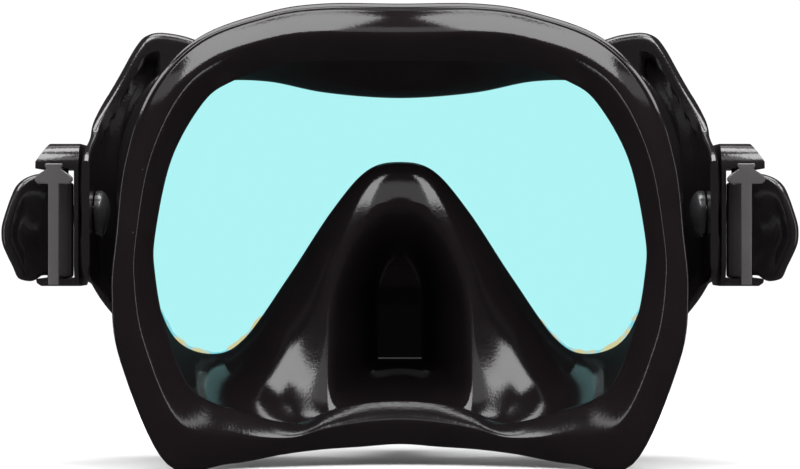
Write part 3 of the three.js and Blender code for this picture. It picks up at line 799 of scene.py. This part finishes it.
def bezel_tree(material):
    """Node tree: a rounded bar swept along a closed path."""
    inputs = {"Path": "Geometry", "Width": "Float", "Height": "Float", "Rounding": "Float"}
    tree, source, target = new_tree("bezel_sweep", inputs, "Bezel")
    nodes, links = tree.nodes, tree.links
    bar = nodes.new("GeometryNodeCurvePrimitiveQuadrilateral")
    fillet = nodes.new("GeometryNodeFilletCurve")
    fillet.mode = "POLY"
    fillet.inputs["Count"].default_value = 4
    sweep = nodes.new("GeometryNodeCurveToMesh")
    links.new(source["Width"], bar.inputs["Width"])
    links.new(source["Height"], bar.inputs["Height"])
    links.new(bar.outputs["Curve"], fillet.inputs["Curve"])
    links.new(source["Rounding"], fillet.inputs["Radius"])
    links.new(source["Path"], sweep.inputs["Curve"])
    links.new(fillet.outputs["Curve"], sweep.inputs["Profile Curve"])
    end_tree(tree, sweep.outputs["Mesh"], material, target)
    return tree


def build_bezel(sizes, colours):
    """The front ring that clamps the lens into the frame."""
    inner = LENS_HOLD - LENS_LEDGE + GAP
    outer = FRAME_INNER + BEZEL_SEAT
    height = LENS_STEP - GAP
    t = places(8, 14)
    middle = window_at(t, np.full(t.shape, (inner + outer) / 2))
    curve = bpy.data.curves.new("bezel_path", "CURVE")
    curve.dimensions = "3D"
    spline = curve.splines.new("POLY")
    spline.points.add(len(t) - 1)
    for point, (x, _, z) in zip(spline.points, middle):
        point.co = (x, -height / 2, z + EYE_LINE, 1)
    spline.use_cyclic_u = True
    material = moulded_plastic("bezel_plastic", colours.plastic, 0.16)
    values = {"Width": height, "Height": outer - inner, "Rounding": sizes.bezel_round}
    plain = tree_mesh(linked_object("bezel_path", curve), bezel_tree(material), values)
    finished(linked_object("bezel_ring", plain), "mask", "frame_plastic", material, "lens_bezel")


# ---- Frame ----
def frame_rim(sizes):
    """The rim round the lens, with its rebate for the bezel and its flange behind the lip."""
    rebate = FRAME_INNER + BEZEL_SEAT + GAP
    back_lip = WALL + GAP
    corners = [
        (rebate, 0), (FRAME_OUTER, 0), (FRAME_OUTER, FRAME_BACK), (back_lip, FRAME_BACK),
        (back_lip, FRAME_BACK + BACK_LIP), (FRAME_INNER, FRAME_BACK + BACK_LIP),
        (FRAME_INNER, -LENS_STEP), (rebate, -LENS_STEP),
    ]
    return window_sweep("frame_rim", rounded_profile(corners, sizes.frame_round, 5), 8)


# Stations of an arm in millimetres: X beyond the flange's half width, Y, lower edge, upper edge and
# thickness. The last four are the flat plate that the buckle swivels on.
ARM_PLATE_X = 9.4
ARM_STATIONS = (
    (-26, -5, -27, 49.2, 7.5), (-18, -5, -28, 52, 7.5), (-12, -5.2, -29, 54, 7),
    (-4.2, -5.8, -29, 54.6, 6.4), (-0.8, -7, -27, 50.6, 5.5), (4, -9, -23, 41, 4.2),
    (7.5, -11.5, -18, 34.5, 3.2), (ARM_PLATE_X, -14.5, -14, 29.5, 2),
    (ARM_PLATE_X, -16.5, -13.5, 26, 2), (ARM_PLATE_X, -34, -12, 22, 2), (ARM_PLATE_X, -37, -9, 19, 2),
)
ARM_RINGS = 150
ARM_SIDE_POINTS = 56
ARM_BEND = 0.45  # how far each way along its stations the arm's bends are rounded
PANEL_SPAN = (2.6, 7.0)  # the recessed panel's first and last places along the stations
PANEL_BORDER = 6 * MM
PANEL_SKIN = 1.6 * MM
PANEL_EASE = 1.4 * MM
PANEL_STATION = 5 * MM  # what one station counts for where the panel's ends rise
PIVOT_HOLE_R = 2.8 * MM
PIVOT_HOLE_REACH = 6 * MM
PIVOT_OUT = 10 * MM
RIM_OVERLAP = 1.2 * MM  # how far an arm runs into the rim
RIM_ROOM = (-60 * MM, 20 * MM)  # Y over which the window is kept clear of the arms


def arm_at(place):
    """The arm's middle, edges and thickness at a place along its stations, and the way it runs."""
    rows = np.array(ARM_STATIONS) * MM
    step = 0.02
    columns = [np.interp(place, np.arange(len(rows)), rows[:, c]) for c in range(5)]
    near = [np.interp(place - step, np.arange(len(rows)), rows[:, c]) for c in (0, 1)]
    far = [np.interp(place + step, np.arange(len(rows)), rows[:, c]) for c in (0, 1)]
    along = np.array([far[0] - near[0], far[1] - near[1]])
    return columns, along / np.linalg.norm(along)


def eased_arm(place):
    """The same values averaged over a stretch of the arm, which rounds its bends."""
    last = len(ARM_STATIONS) - 1
    reach = min(ARM_BEND, place, last - place)
    values, ways = [], []
    for share in np.linspace(-1, 1, 7):
        columns, along = arm_at(np.clip(place + share * reach, 0, last))
        values.append(columns)
        ways.append(along)
    along = np.mean(ways, axis=0)
    return np.mean(values, axis=0), along / np.linalg.norm(along)


def arm_ring(half, low, high, radius):
    """A section of the arm with round corners, as (behind, up), from its foot up the near side."""
    across = np.linspace(low + radius, high - radius, ARM_SIDE_POINTS)
    corner = np.radians(np.linspace(0, 90, 5))
    c, s = radius * np.cos(corner), radius * np.sin(corner)
    near, far, top, foot = radius - half, half - radius, high - radius, low + radius
    ring = [(-half, z) for z in across]
    ring += [*zip(near - c, top + s), *zip(far + s, top + c)]
    ring += [(half, z) for z in across[::-1]]
    ring += [*zip(far + c, foot - s), *zip(near - s, foot - c)]
    return ring


def arm_shell(side, edge):
    """One side arm, with the recessed panel in the face that looks backwards."""
    rings = []
    for place in np.linspace(0, len(ARM_STATIONS) - 1, ARM_RINGS):
        (x, y, low, high, thick), along = eased_arm(place)
        half = thick / 2
        depth = max(thick - PANEL_SKIN, 0)
        ends = min(place - PANEL_SPAN[0], PANEL_SPAN[1] - place) * PANEL_STATION
        ring = []
        for behind, z in arm_ring(half, low, high, min(edge, half * 0.9)):
            if behind >= half:
                inside = min(z - low - PANEL_BORDER, high - PANEL_BORDER - z, ends)
                behind -= depth * float(smooth_step(inside, 0, PANEL_EASE))
            out = HALF_W + x + along[1] * behind
            ring.append((side * out, y - along[0] * behind, z + EYE_LINE))
        rings.append(ring)
    return Shell().sweep(rings).made("arm")


def cylinder_cutter(axis, radius, start, end, centre):
    """A plain round cutter for a hole."""
    profile = [(AXIS_R, start), (radius, start), (radius, end), (AXIS_R, end)]
    return Shell().lathe(profile, axis, centre, 48).made("round_cutter")


def cut_with(piece, *cutters):
    """Takes the cutters' shapes out of a piece, and the cutters away."""
    for cutter in cutters:
        work = piece.modifiers.new("cut", "BOOLEAN")
        work.operation = "DIFFERENCE"
        work.solver = "EXACT"
        work.object = cutter
    apply_modifiers(piece)
    for cutter in cutters:
        bpy.data.objects.remove(cutter)
    return piece


def window_block(outwards, back, front):
    """A solid with the window's outline, for cutting away what would cover the lens."""
    t = places(6, 12)
    column = window_at(t, np.full(t.shape, outwards))
    vertices = [(x, y, z + EYE_LINE) for y in (back, front) for x, _, z in column]
    count = len(t)
    faces = [(i, (i + 1) % count, count + (i + 1) % count, count + i) for i in range(count)]
    faces += [tuple(range(count)), tuple(reversed(range(count, 2 * count)))]
    return mesh_object("window_block", vertices, faces, smooth=False)


def join_shells(name, parts):
    """Several shells as one object."""
    bpy.ops.object.select_all(action="DESELECT")
    for part in parts:
        part.select_set(True)
    bpy.context.view_layer.objects.active = parts[0]
    bpy.ops.object.join()
    parts[0].name = name
    parts[0].data.name = name
    return parts[0]


def build_frame(sizes, colours):
    """The moulded frame: the rim round the lens and both side arms."""
    shells = [frame_rim(sizes)]
    for name, side in SIDES.items():
        _, y, z = centre_of(f"pivot_washer_{name}")
        room = window_block(FRAME_OUTER - RIM_OVERLAP, *RIM_ROOM)
        centre = (side * (HALF_W + PIVOT_OUT), y, z)
        hole = cylinder_cutter("x", PIVOT_HOLE_R, -PIVOT_HOLE_REACH, PIVOT_HOLE_REACH, centre)
        shells.append(cut_with(arm_shell(side, sizes.arm_edge), room, hole))
    moulding = join_shells("frame_moulding", shells)
    moulding.data.set_sharp_from_angle(angle=math.radians(40))
    material = moulded_plastic("frame_plastic", colours.plastic, 0.12)
    finished(moulding, "mask", "frame_plastic", material, "front_frame")


# ---- Buckles ----
def rounded_copy(node, name, width, segments, angle=32):
    """A copy of a CAD part with its facets joined and its edges rounded."""
    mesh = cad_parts[node].data.copy()
    if "custom_normal" in mesh.attributes:
        mesh.attributes.remove(mesh.attributes["custom_normal"])
    work = bmesh.new()
    work.from_mesh(mesh)
    bmesh.ops.remove_doubles(work, verts=work.verts, dist=2e-6)
    bmesh.ops.dissolve_limit(work, angle_limit=math.radians(1), verts=work.verts, edges=work.edges)
    work.to_mesh(mesh)
    work.free()
    mesh.polygons.foreach_set("use_smooth", [True] * len(mesh.polygons))
    made = linked_object(name, mesh)
    bevel = made.modifiers.new("edges", "BEVEL")
    bevel.limit_method = "ANGLE"
    bevel.angle_limit = math.radians(angle)
    bevel.width = width
    bevel.segments = segments
    bevel.use_clamp_overlap = True
    apply_modifiers(made)
    made.data.set_sharp_from_angle(angle=math.radians(38))
    return made


def pillow(outline, half, radius, dish, place):
    """A plate with soft edges: its outline, half thickness, edge radius and hollow in each face.

    place turns a point (across, up, thickness) into the object's own frame."""
    points = np.array(outline)
    middle = points.mean(axis=0)
    before, after = np.roll(points, 1, axis=0), np.roll(points, -1, axis=0)
    way = after - before
    inwards = np.stack([-way[:, 1], way[:, 0]], axis=1)
    inwards /= np.linalg.norm(inwards, axis=1, keepdims=True)
    if np.mean(np.sum((middle - points) * inwards, axis=1)) < 0:
        inwards = -inwards
    profile = []
    for angle in np.linspace(0, 90, 7):
        a = math.radians(angle)
        height = half - radius + radius * math.sin(a)
        profile.append((points + inwards * radius * (1 - math.cos(a)), height))
    edge = profile[-1][0]
    for share in np.linspace(0.08, 0.96, 12):
        depth = dish * float(smooth_step(share, 0.05, 0.6))
        profile.append((mixed(edge, middle, share), half - depth))
    rings = []
    for outline_ring, height in reversed(profile):
        rings.append([place(a, b, height) for a, b in outline_ring])
    for outline_ring, height in profile:
        rings.append([place(a, b, -height) for a, b in outline_ring])
    return Shell().sweep(rings).made("plate")


def build_buckles(sizes, colours):
    """Both buckle bodies, with soft edges."""
    material = moulded_plastic("buckle_plastic", colours.plastic, 0.13)
    for name in SIDES:
        body = rounded_copy(f"buckle_body_{name}", f"strap_buckle_{name}", sizes.edge_round, 4)
        finished(body, f"buckle_{name}", "buckle_plastic", material, f"buckle_body_{name}")


def build_guides(sizes, colours):
    """Both grey T-shaped strap guides."""
    material = moulded_plastic("guide_grey", colours.guide, 0.2, grain_scale=1500, scuffing=0.03)
    for name in SIDES:
        guide = rounded_copy(f"strap_guide_{name}", f"tee_guide_{name}", sizes.edge_round * 1.6, 5, 20)
        finished(guide, f"buckle_{name}", "guide_grey", material, f"strap_guide_{name}")


ROLLER_BORE_R = 1.4 * MM
ROLLER_SOFT = 0.4 * MM


def build_rollers(colours):
    """Both strap rollers, with rounded rims, in the frame's plastic made lighter as painted sheen."""
    # Painted sheen: the frame's plastic made 2.8 times lighter, standing in for the roller's glossy
    # highlights.
    material = moulded_plastic("roller_plastic", shade(colours.plastic, 2.8), 0.2)
    for name in SIDES:
        node = f"strap_roller_{name}"
        low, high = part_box(node)
        radius = (high[0] - low[0]) / 2
        profile = turned_profile(radius, low[2], high[2], ROLLER_SOFT, ROLLER_BORE_R)
        corners = [tuple(point) for point in rounded_profile(profile, ROLLER_SOFT, 3)]
        centre = (*centre_of(node)[:2], 0)
        roller = Shell().lathe(corners, "z", centre, closed=True).made(f"roller_{name}")
        roller.data.set_sharp_from_angle(angle=math.radians(50))
        finished(roller, f"roller_{name}", "buckle_plastic", material, node)


LEVER_LENGTH = 16 * MM
LEVER_HUB_R = 2.3 * MM
LEVER_HUB_INSET = 0.05 * MM
LEVER_BORE_R = 1.3 * MM
LEVER_ANGLE = math.radians(35)
LEVER_HALF = 1.5 * MM
LEVER_SOFT = 1.3 * MM
SPRING_GAP = 10 * MM
# The paddle's outline from its upper end round to its lower one: shares of its length outwards
# from the hinge line, and of its height up from its lowest point.
PADDLE = (
    (0, 0.98), (0.3, 0.98), (0.55, 0.94), (0.72, 0.87), (0.82, 0.77), (0.9, 0.66), (0.98, 0.53),
    (1, 0.44), (0.98, 0.34), (0.89, 0.23), (0.79, 0.13), (0.71, 0.04), (0.62, 0.01), (0.46, 0),
    (0.34, 0.03), (0.26, 0.05), (0, 0.05),
)


def paddle_outline(low, high):
    """The release paddle's closed outline, as (out, up)."""
    knots = np.array([(out * LEVER_LENGTH, mixed(low, high, up)) for out, up in PADDLE])
    padded = np.vstack([2 * knots[0] - knots[1], knots, 2 * knots[-1] - knots[-2]])
    points = []
    for i in range(1, len(padded) - 2):
        p0, p1, p2, p3 = padded[i - 1:i + 3]
        for w in np.linspace(0, 1, 6, endpoint=False):
            points.append(0.5 * (
                2 * p1 + (p2 - p0) * w + (2 * p0 - 5 * p1 + 4 * p2 - p3) * w**2
                + (3 * p1 - p0 - 3 * p2 + p3) * w**3
            ))
    hinge = [mixed(knots[-1], knots[0], share) for share in np.linspace(0, 0.96, 14)]
    return [tuple(point) for point in points + hinge]


def lever_shell(shape, low, high, centre):
    """A lever's paddle or hub with the spring's room and the pin's bore cut out of it."""
    x, y = centre
    middle = (low + high) / 2
    room = cylinder_cutter(
        "z", LEVER_HUB_R + 2 * GAP, middle - SPRING_GAP / 2, middle + SPRING_GAP / 2, (x, y, 0),
    )
    bore = cylinder_cutter("z", LEVER_BORE_R, low - MM, high + MM, (x, y, 0))
    return cut_with(shape, room, bore)


def build_levers(sizes, colours):
    """Both release levers: a hub round the pin and a paddle with soft edges."""
    material = moulded_plastic("lever_plastic", colours.plastic, 0.12)
    c, s = math.cos(LEVER_ANGLE), math.sin(LEVER_ANGLE)
    for name, side in SIDES.items():
        node = f"release_lever_{name}"
        low, high = (corner[2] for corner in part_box(node))
        x, y, _ = centre_of(f"lever_pin_{name}")

        def place(out, up, thick):
            return (x + side * (out * c + thick * s), y - out * s + thick * c, up)

        outline = paddle_outline(low, high)
        paddle = pillow(outline, LEVER_HALF, LEVER_SOFT, sizes.paddle_dish, place)
        ends = (low + LEVER_HUB_INSET, high - LEVER_HUB_INSET)
        hub = cylinder_cutter("z", LEVER_HUB_R, *ends, (x, y, 0))
        shells = [lever_shell(shape, low, high, (x, y)) for shape in (paddle, hub)]
        lever = join_shells(f"paddle_lever_{name}", shells)
        lever.data.set_sharp_from_angle(angle=math.radians(40))
        finished(lever, f"lever_{name}", "buckle_plastic", material, node)


# ---- Pins, washers, clips and springs ----
PIVOT_SHAFT_R = 2.5 * MM
PIVOT_HEAD_H = 3.8 * MM
PIVOT_DOME = 0.75  # share of the head's height that its dome takes
PIVOT_WAIST = 0.8  # where the head is widest
PIVOT_UNDERCUT = 0.15 * MM
PIVOT_POINT = 0.3 * MM
PIVOT_POINT_SHARE = 0.85
PIN_SOFT = 0.2 * MM


def pivot_profile(head, start, end, side):
    """A domed rivet's outline from its head's top to its shaft's end."""
    profile = [(AXIS_R, start)]
    for angle in np.linspace(8, 82, 9):
        a = math.radians(angle)
        rise = PIVOT_HEAD_H * PIVOT_DOME * (1 - math.cos(a))
        profile.append((head * math.sin(a), start + side * rise))
    back = start + side * PIVOT_HEAD_H
    profile += [(head, start + side * PIVOT_HEAD_H * PIVOT_WAIST), (head - PIVOT_UNDERCUT, back)]
    profile += [(PIVOT_SHAFT_R, back), (PIVOT_SHAFT_R, end - side * PIVOT_POINT)]
    profile += [(PIVOT_SHAFT_R * PIVOT_POINT_SHARE, end), (AXIS_R, end)]
    return profile


def build_pivot(name, side, material):
    """The domed rivet that one buckle swivels on."""
    node = f"pivot_pin_{name}"
    low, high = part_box(node)
    start, end = (low[0], high[0]) if side > 0 else (high[0], low[0])
    _, y, z = centre_of(node)
    profile = pivot_profile((high[2] - low[2]) / 2, start, end, side)
    pivot = Shell().lathe(profile, "x", (0, y, z)).made(f"pivot_rivet_{name}")
    pivot.data.set_sharp_from_angle(angle=math.radians(45))
    finished(pivot, "mask", "pin_steel", material, node)


def build_axle(name, kind, material):
    """The pin that one roller or lever turns on."""
    node = f"{kind}_pin_{name}"
    low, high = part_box(node)
    profile = turned_profile((high[0] - low[0]) / 2, low[2], high[2], PIN_SOFT)
    centre = (*centre_of(node)[:2], 0)
    axle = Shell().lathe(profile, "z", centre, 32).made(f"{kind}_axle_{name}")
    axle.data.set_sharp_from_angle(angle=math.radians(50))
    finished(axle, f"buckle_{name}", "pin_steel", material, node)


def build_pins():
    """The pivots, the pins of the rollers and levers, and the washers' and clips' materials."""
    dark = moulded_plastic("pivot_finish", PIVOT_COLOUR, 0.16)
    metal = steel()
    nylon = moulded_plastic("washer_nylon", WASHER_COLOUR, 0.42)
    for name, side in SIDES.items():
        build_pivot(name, side, dark)
        build_axle(name, "roller", metal)
        build_axle(name, "lever", metal)
        for node, material in ((f"pivot_washer_{name}", nylon), (f"pivot_clip_{name}", metal)):
            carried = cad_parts[node]
            carried.data.materials.clear()
            carried.data.materials.append(material)


def spring_tree(material):
    """Node tree: a round wire coiled between two heights."""
    inputs = {
        "Base": "Geometry", "Turns": "Float", "Coil Radius": "Float", "Wire Radius": "Float",
        "Height": "Float", "Centre": "Vector",
    }
    tree, source, target = new_tree("spring_coil", inputs, "Spring")
    nodes, links = tree.nodes, tree.links
    coil = nodes.new("GeometryNodeCurveSpiral")
    coil.inputs["Resolution"].default_value = 28
    wire = nodes.new("GeometryNodeCurvePrimitiveCircle")
    wire.inputs["Resolution"].default_value = 10
    sweep = nodes.new("GeometryNodeCurveToMesh")
    sweep.inputs["Fill Caps"].default_value = True
    move = nodes.new("GeometryNodeTransform")
    links.new(source["Turns"], coil.inputs["Rotations"])
    links.new(source["Coil Radius"], coil.inputs["Start Radius"])
    links.new(source["Coil Radius"], coil.inputs["End Radius"])
    links.new(source["Height"], coil.inputs["Height"])
    links.new(source["Wire Radius"], wire.inputs["Radius"])
    links.new(coil.outputs["Curve"], sweep.inputs["Curve"])
    links.new(wire.outputs["Curve"], sweep.inputs["Profile Curve"])
    links.new(sweep.outputs["Mesh"], move.inputs["Geometry"])
    links.new(source["Centre"], move.inputs["Translation"])
    end_tree(tree, move.outputs["Geometry"], material, target)
    return tree


def build_springs(sizes):
    """The return springs, each coiled round its lever's pin."""
    metal = steel()
    tree = spring_tree(metal)
    wire = sizes.spring_wire
    for name in SIDES:
        node = f"lever_spring_{name}"
        low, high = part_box(node)
        x, y, _ = centre_of(f"lever_pin_{name}")
        base = bpy.data.meshes.new("spring_base")
        base.from_pydata([(x, y, low[2])], [], [])
        plain = tree_mesh(linked_object("spring_base", base), tree, {
            "Turns": sizes.spring_turns,
            "Coil Radius": LEVER_BORE_R + wire,
            "Wire Radius": wire,
            "Height": high[2] - low[2] - 2 * wire,
            "Centre": (x, y, low[2] + wire),
        })
        spring = linked_object(f"return_spring_{name}", plain)
        finished(spring, f"buckle_{name}", "pin_steel", metal, node)


# ---- Stage ----
FLOOR_HALF = 0.3
CAMERA_BACK = 0.762
CAMERA_LENS = 126
CAMERA_SENSOR = 36
# Brightness of the world where it is seen, in reflections and as light on dull surfaces.
WORLD_SEEN = (1, 1, 1, 1)
WORLD_REFLECTED = (0.035, 0.033, 0.034, 1)
WORLD_DIFFUSE = (0.4, 0.4, 0.4, 1)
WORLD_STRENGTH = 1.05
SOFTBOXES = (
    # name, place, target, width, height, watts
    ("softbox_top", (0.0, 0.02, 0.8), (0, -0.03, 0), 0.8, 0.34, 7.5),
    ("softbox_left", (-0.36, -0.42, 0.66), (-0.03, -0.02, -0.05), 0.5, 0.4, 6.6),
    ("softbox_right", (0.36, -0.42, 0.66), (0.03, -0.02, -0.05), 0.5, 0.4, 6.6),
    ("softbox_back", (0.0, -0.8, 0.67), (0, -0.02, -0.02), 0.6, 0.24, 0.8),
    ("softbox_front", (0.0, 0.6, 1.05), (0, 0.0, -0.03), 0.8, 0.3, 1.2),
    ("strip_left", (-0.7, -0.22, 0.05), (0, -0.03, 0), 0.1, 0.7, 1.1),
    ("strip_right", (0.7, -0.22, 0.05), (0, -0.03, 0), 0.1, 0.7, 1.1),
)


def floor_material():
    """A plain pale floor with a very faint mottle."""
    finish = Finish("floor_paint")
    mottle = finish.noise(scale=6, detail=2)
    return finish.surface(
        Base_Color=finish.blend(mottle * 0.3, FLOOR_PALE, FLOOR_DIM),
        Roughness=0.9 + mottle * 0.05,
        Specular_IOR_Level=0.0,
    )


def build_floor(height):
    """The floor, which is kept out of reflections as a dark studio's floor is."""
    corners = [(-1, -1), (1, -1), (1, 1), (-1, 1)]
    vertices = [(x * FLOOR_HALF, y * FLOOR_HALF, height) for x, y in corners]
    floor = mesh_object("floor", vertices, [(0, 1, 2, 3)], smooth=False)
    floor.data.materials.append(floor_material())
    floor.visible_glossy = False
    floor.visible_transmission = False


def build_world():
    """A white studio whose walls look dim in reflections, as a room beyond its softboxes does."""
    world = bpy.data.worlds.new("studio")
    world.use_nodes = True
    nodes, links = world.node_tree.nodes, world.node_tree.links
    nodes.clear()
    path = nodes.new("ShaderNodeLightPath")
    background = nodes.new("ShaderNodeBackground")
    background.inputs["Strength"].default_value = WORLD_STRENGTH
    colour = None
    for ray, tone in (("Glossy Depth", WORLD_REFLECTED), ("Is Diffuse Ray", WORLD_DIFFUSE)):
        mix = nodes.new("ShaderNodeMix")
        mix.data_type = "RGBA"
        mix.inputs[6].default_value = WORLD_SEEN
        mix.inputs[7].default_value = tone
        links.new(path.outputs[ray], mix.inputs[0])
        if colour:
            links.new(colour, mix.inputs[6])
        colour = mix.outputs[2]
    links.new(colour, background.inputs["Color"])
    output = nodes.new("ShaderNodeOutputWorld")
    links.new(background.outputs[0], output.inputs["Surface"])
    bpy.context.scene.world = world


def build_lights():
    """The softboxes and the two side strips."""
    for name, place, target, width, height, watts in SOFTBOXES:
        light = bpy.data.lights.new(name, "AREA")
        light.shape = "RECTANGLE"
        light.size, light.size_y, light.energy = width, height, watts
        lamp = linked_object(name, light)
        lamp.location = place
        lamp.rotation_euler = (Vector(target) - Vector(place)).to_track_quat("-Z", "Y").to_euler()
        lamp.visible_camera = False


def build_camera(height):
    """The camera, level with the mask's middle and straight behind it."""
    camera = bpy.data.cameras.new("camera")
    camera.sensor_width = CAMERA_SENSOR
    camera.lens = CAMERA_LENS
    viewer = linked_object("camera", camera)
    viewer.location = (0, -CAMERA_BACK, height)
    viewer.rotation_euler = (math.radians(90), 0, 0)
    bpy.context.scene.camera = viewer


def build_stage():
    """Floor, studio light and camera."""
    build_floor(CAD_LOW[2])
    build_world()
    build_lights()
    build_camera((CAD_LOW[2] + CAD_HIGH[2]) / 2)
    bpy.context.scene.view_settings.view_transform = "Standard"


# ---- Operators and panel ----
class MASK_OT_skirt(bpy.types.Operator):
    """Make the silicone skirt"""

    bl_idname = "mask.skirt"
    bl_label = "Skirt"

    def execute(self, context):
        build_skirt(context.scene.mask_sizes, context.scene.mask_colours)
        return {"FINISHED"}


class MASK_OT_lens(bpy.types.Operator):
    """Make the tinted lens"""

    bl_idname = "mask.lens"
    bl_label = "Lens"

    def execute(self, context):
        build_lens(context.scene.mask_colours)
        return {"FINISHED"}


class MASK_OT_bezel(bpy.types.Operator):
    """Make the ring that clamps the lens"""

    bl_idname = "mask.bezel"
    bl_label = "Bezel"

    def execute(self, context):
        build_bezel(context.scene.mask_sizes, context.scene.mask_colours)
        return {"FINISHED"}


class MASK_OT_frame(bpy.types.Operator):
    """Make the frame with its two side arms"""

    bl_idname = "mask.frame"
    bl_label = "Frame"

    def execute(self, context):
        build_frame(context.scene.mask_sizes, context.scene.mask_colours)
        return {"FINISHED"}


class MASK_OT_buckles(bpy.types.Operator):
    """Make both buckle bodies"""

    bl_idname = "mask.buckles"
    bl_label = "Buckles"

    def execute(self, context):
        build_buckles(context.scene.mask_sizes, context.scene.mask_colours)
        return {"FINISHED"}


class MASK_OT_guides(bpy.types.Operator):
    """Make both strap guides"""

    bl_idname = "mask.guides"
    bl_label = "Strap guides"

    def execute(self, context):
        build_guides(context.scene.mask_sizes, context.scene.mask_colours)
        return {"FINISHED"}


class MASK_OT_rollers(bpy.types.Operator):
    """Make both strap rollers"""

    bl_idname = "mask.rollers"
    bl_label = "Strap rollers"

    def execute(self, context):
        build_rollers(context.scene.mask_colours)
        return {"FINISHED"}


class MASK_OT_levers(bpy.types.Operator):
    """Make both release levers"""

    bl_idname = "mask.levers"
    bl_label = "Release levers"

    def execute(self, context):
        build_levers(context.scene.mask_sizes, context.scene.mask_colours)
        return {"FINISHED"}


class MASK_OT_pins(bpy.types.Operator):
    """Make the pivots and pins, and finish the washers and clips"""

    bl_idname = "mask.pins"
    bl_label = "Pins"

    def execute(self, context):
        build_pins()
        return {"FINISHED"}


class MASK_OT_springs(bpy.types.Operator):
    """Make both return springs"""

    bl_idname = "mask.springs"
    bl_label = "Return springs"

    def execute(self, context):
        build_springs(context.scene.mask_sizes)
        return {"FINISHED"}


class MASK_OT_stage(bpy.types.Operator):
    """Set up the floor, the studio light and the camera"""

    bl_idname = "mask.stage"
    bl_label = "Stage"

    def execute(self, context):
        build_stage()
        return {"FINISHED"}


PIECE_OPERATORS = (
    MASK_OT_skirt, MASK_OT_lens, MASK_OT_bezel, MASK_OT_frame, MASK_OT_buckles, MASK_OT_guides,
    MASK_OT_rollers, MASK_OT_levers, MASK_OT_pins, MASK_OT_springs, MASK_OT_stage,
)


class MASK_PT_panel(bpy.types.Panel):
    """Lists the mask's settings and its pieces"""

    bl_idname = "MASK_PT_panel"
    bl_label = "Diving Mask"
    bl_space_type = "VIEW_3D"
    bl_region_type = "UI"
    bl_category = "Diving Mask"

    def draw(self, context):
        column = self.layout.column()
        for group in (context.scene.mask_sizes, context.scene.mask_colours):
            for name in group.__annotations__:
                column.prop(group, name)
        for operator in PIECE_OPERATORS:
            column.operator(operator.bl_idname)


CLASSES = (MaskColours, MaskSizes, *PIECE_OPERATORS, MASK_PT_panel)


def register():
    """Adds the settings, operators and panel."""
    for item in CLASSES:
        bpy.utils.register_class(item)
    bpy.types.Scene.mask_sizes = bpy.props.PointerProperty(type=MaskSizes)
    bpy.types.Scene.mask_colours = bpy.props.PointerProperty(type=MaskColours)


def unregister():
    """Takes them away again."""
    del bpy.types.Scene.mask_sizes
    del bpy.types.Scene.mask_colours
    for item in reversed(CLASSES):
        bpy.utils.unregister_class(item)


def main():
    """Makes the stage and every piece."""
    register()
    bpy.ops.mask.stage()
    bpy.ops.mask.skirt()
    bpy.ops.mask.lens()
    bpy.ops.mask.bezel()
    bpy.ops.mask.frame()
    bpy.ops.mask.buckles()
    bpy.ops.mask.guides()
    bpy.ops.mask.rollers()
    bpy.ops.mask.levers()
    bpy.ops.mask.pins()
    bpy.ops.mask.springs()


if __name__ == "__main__":
    main()
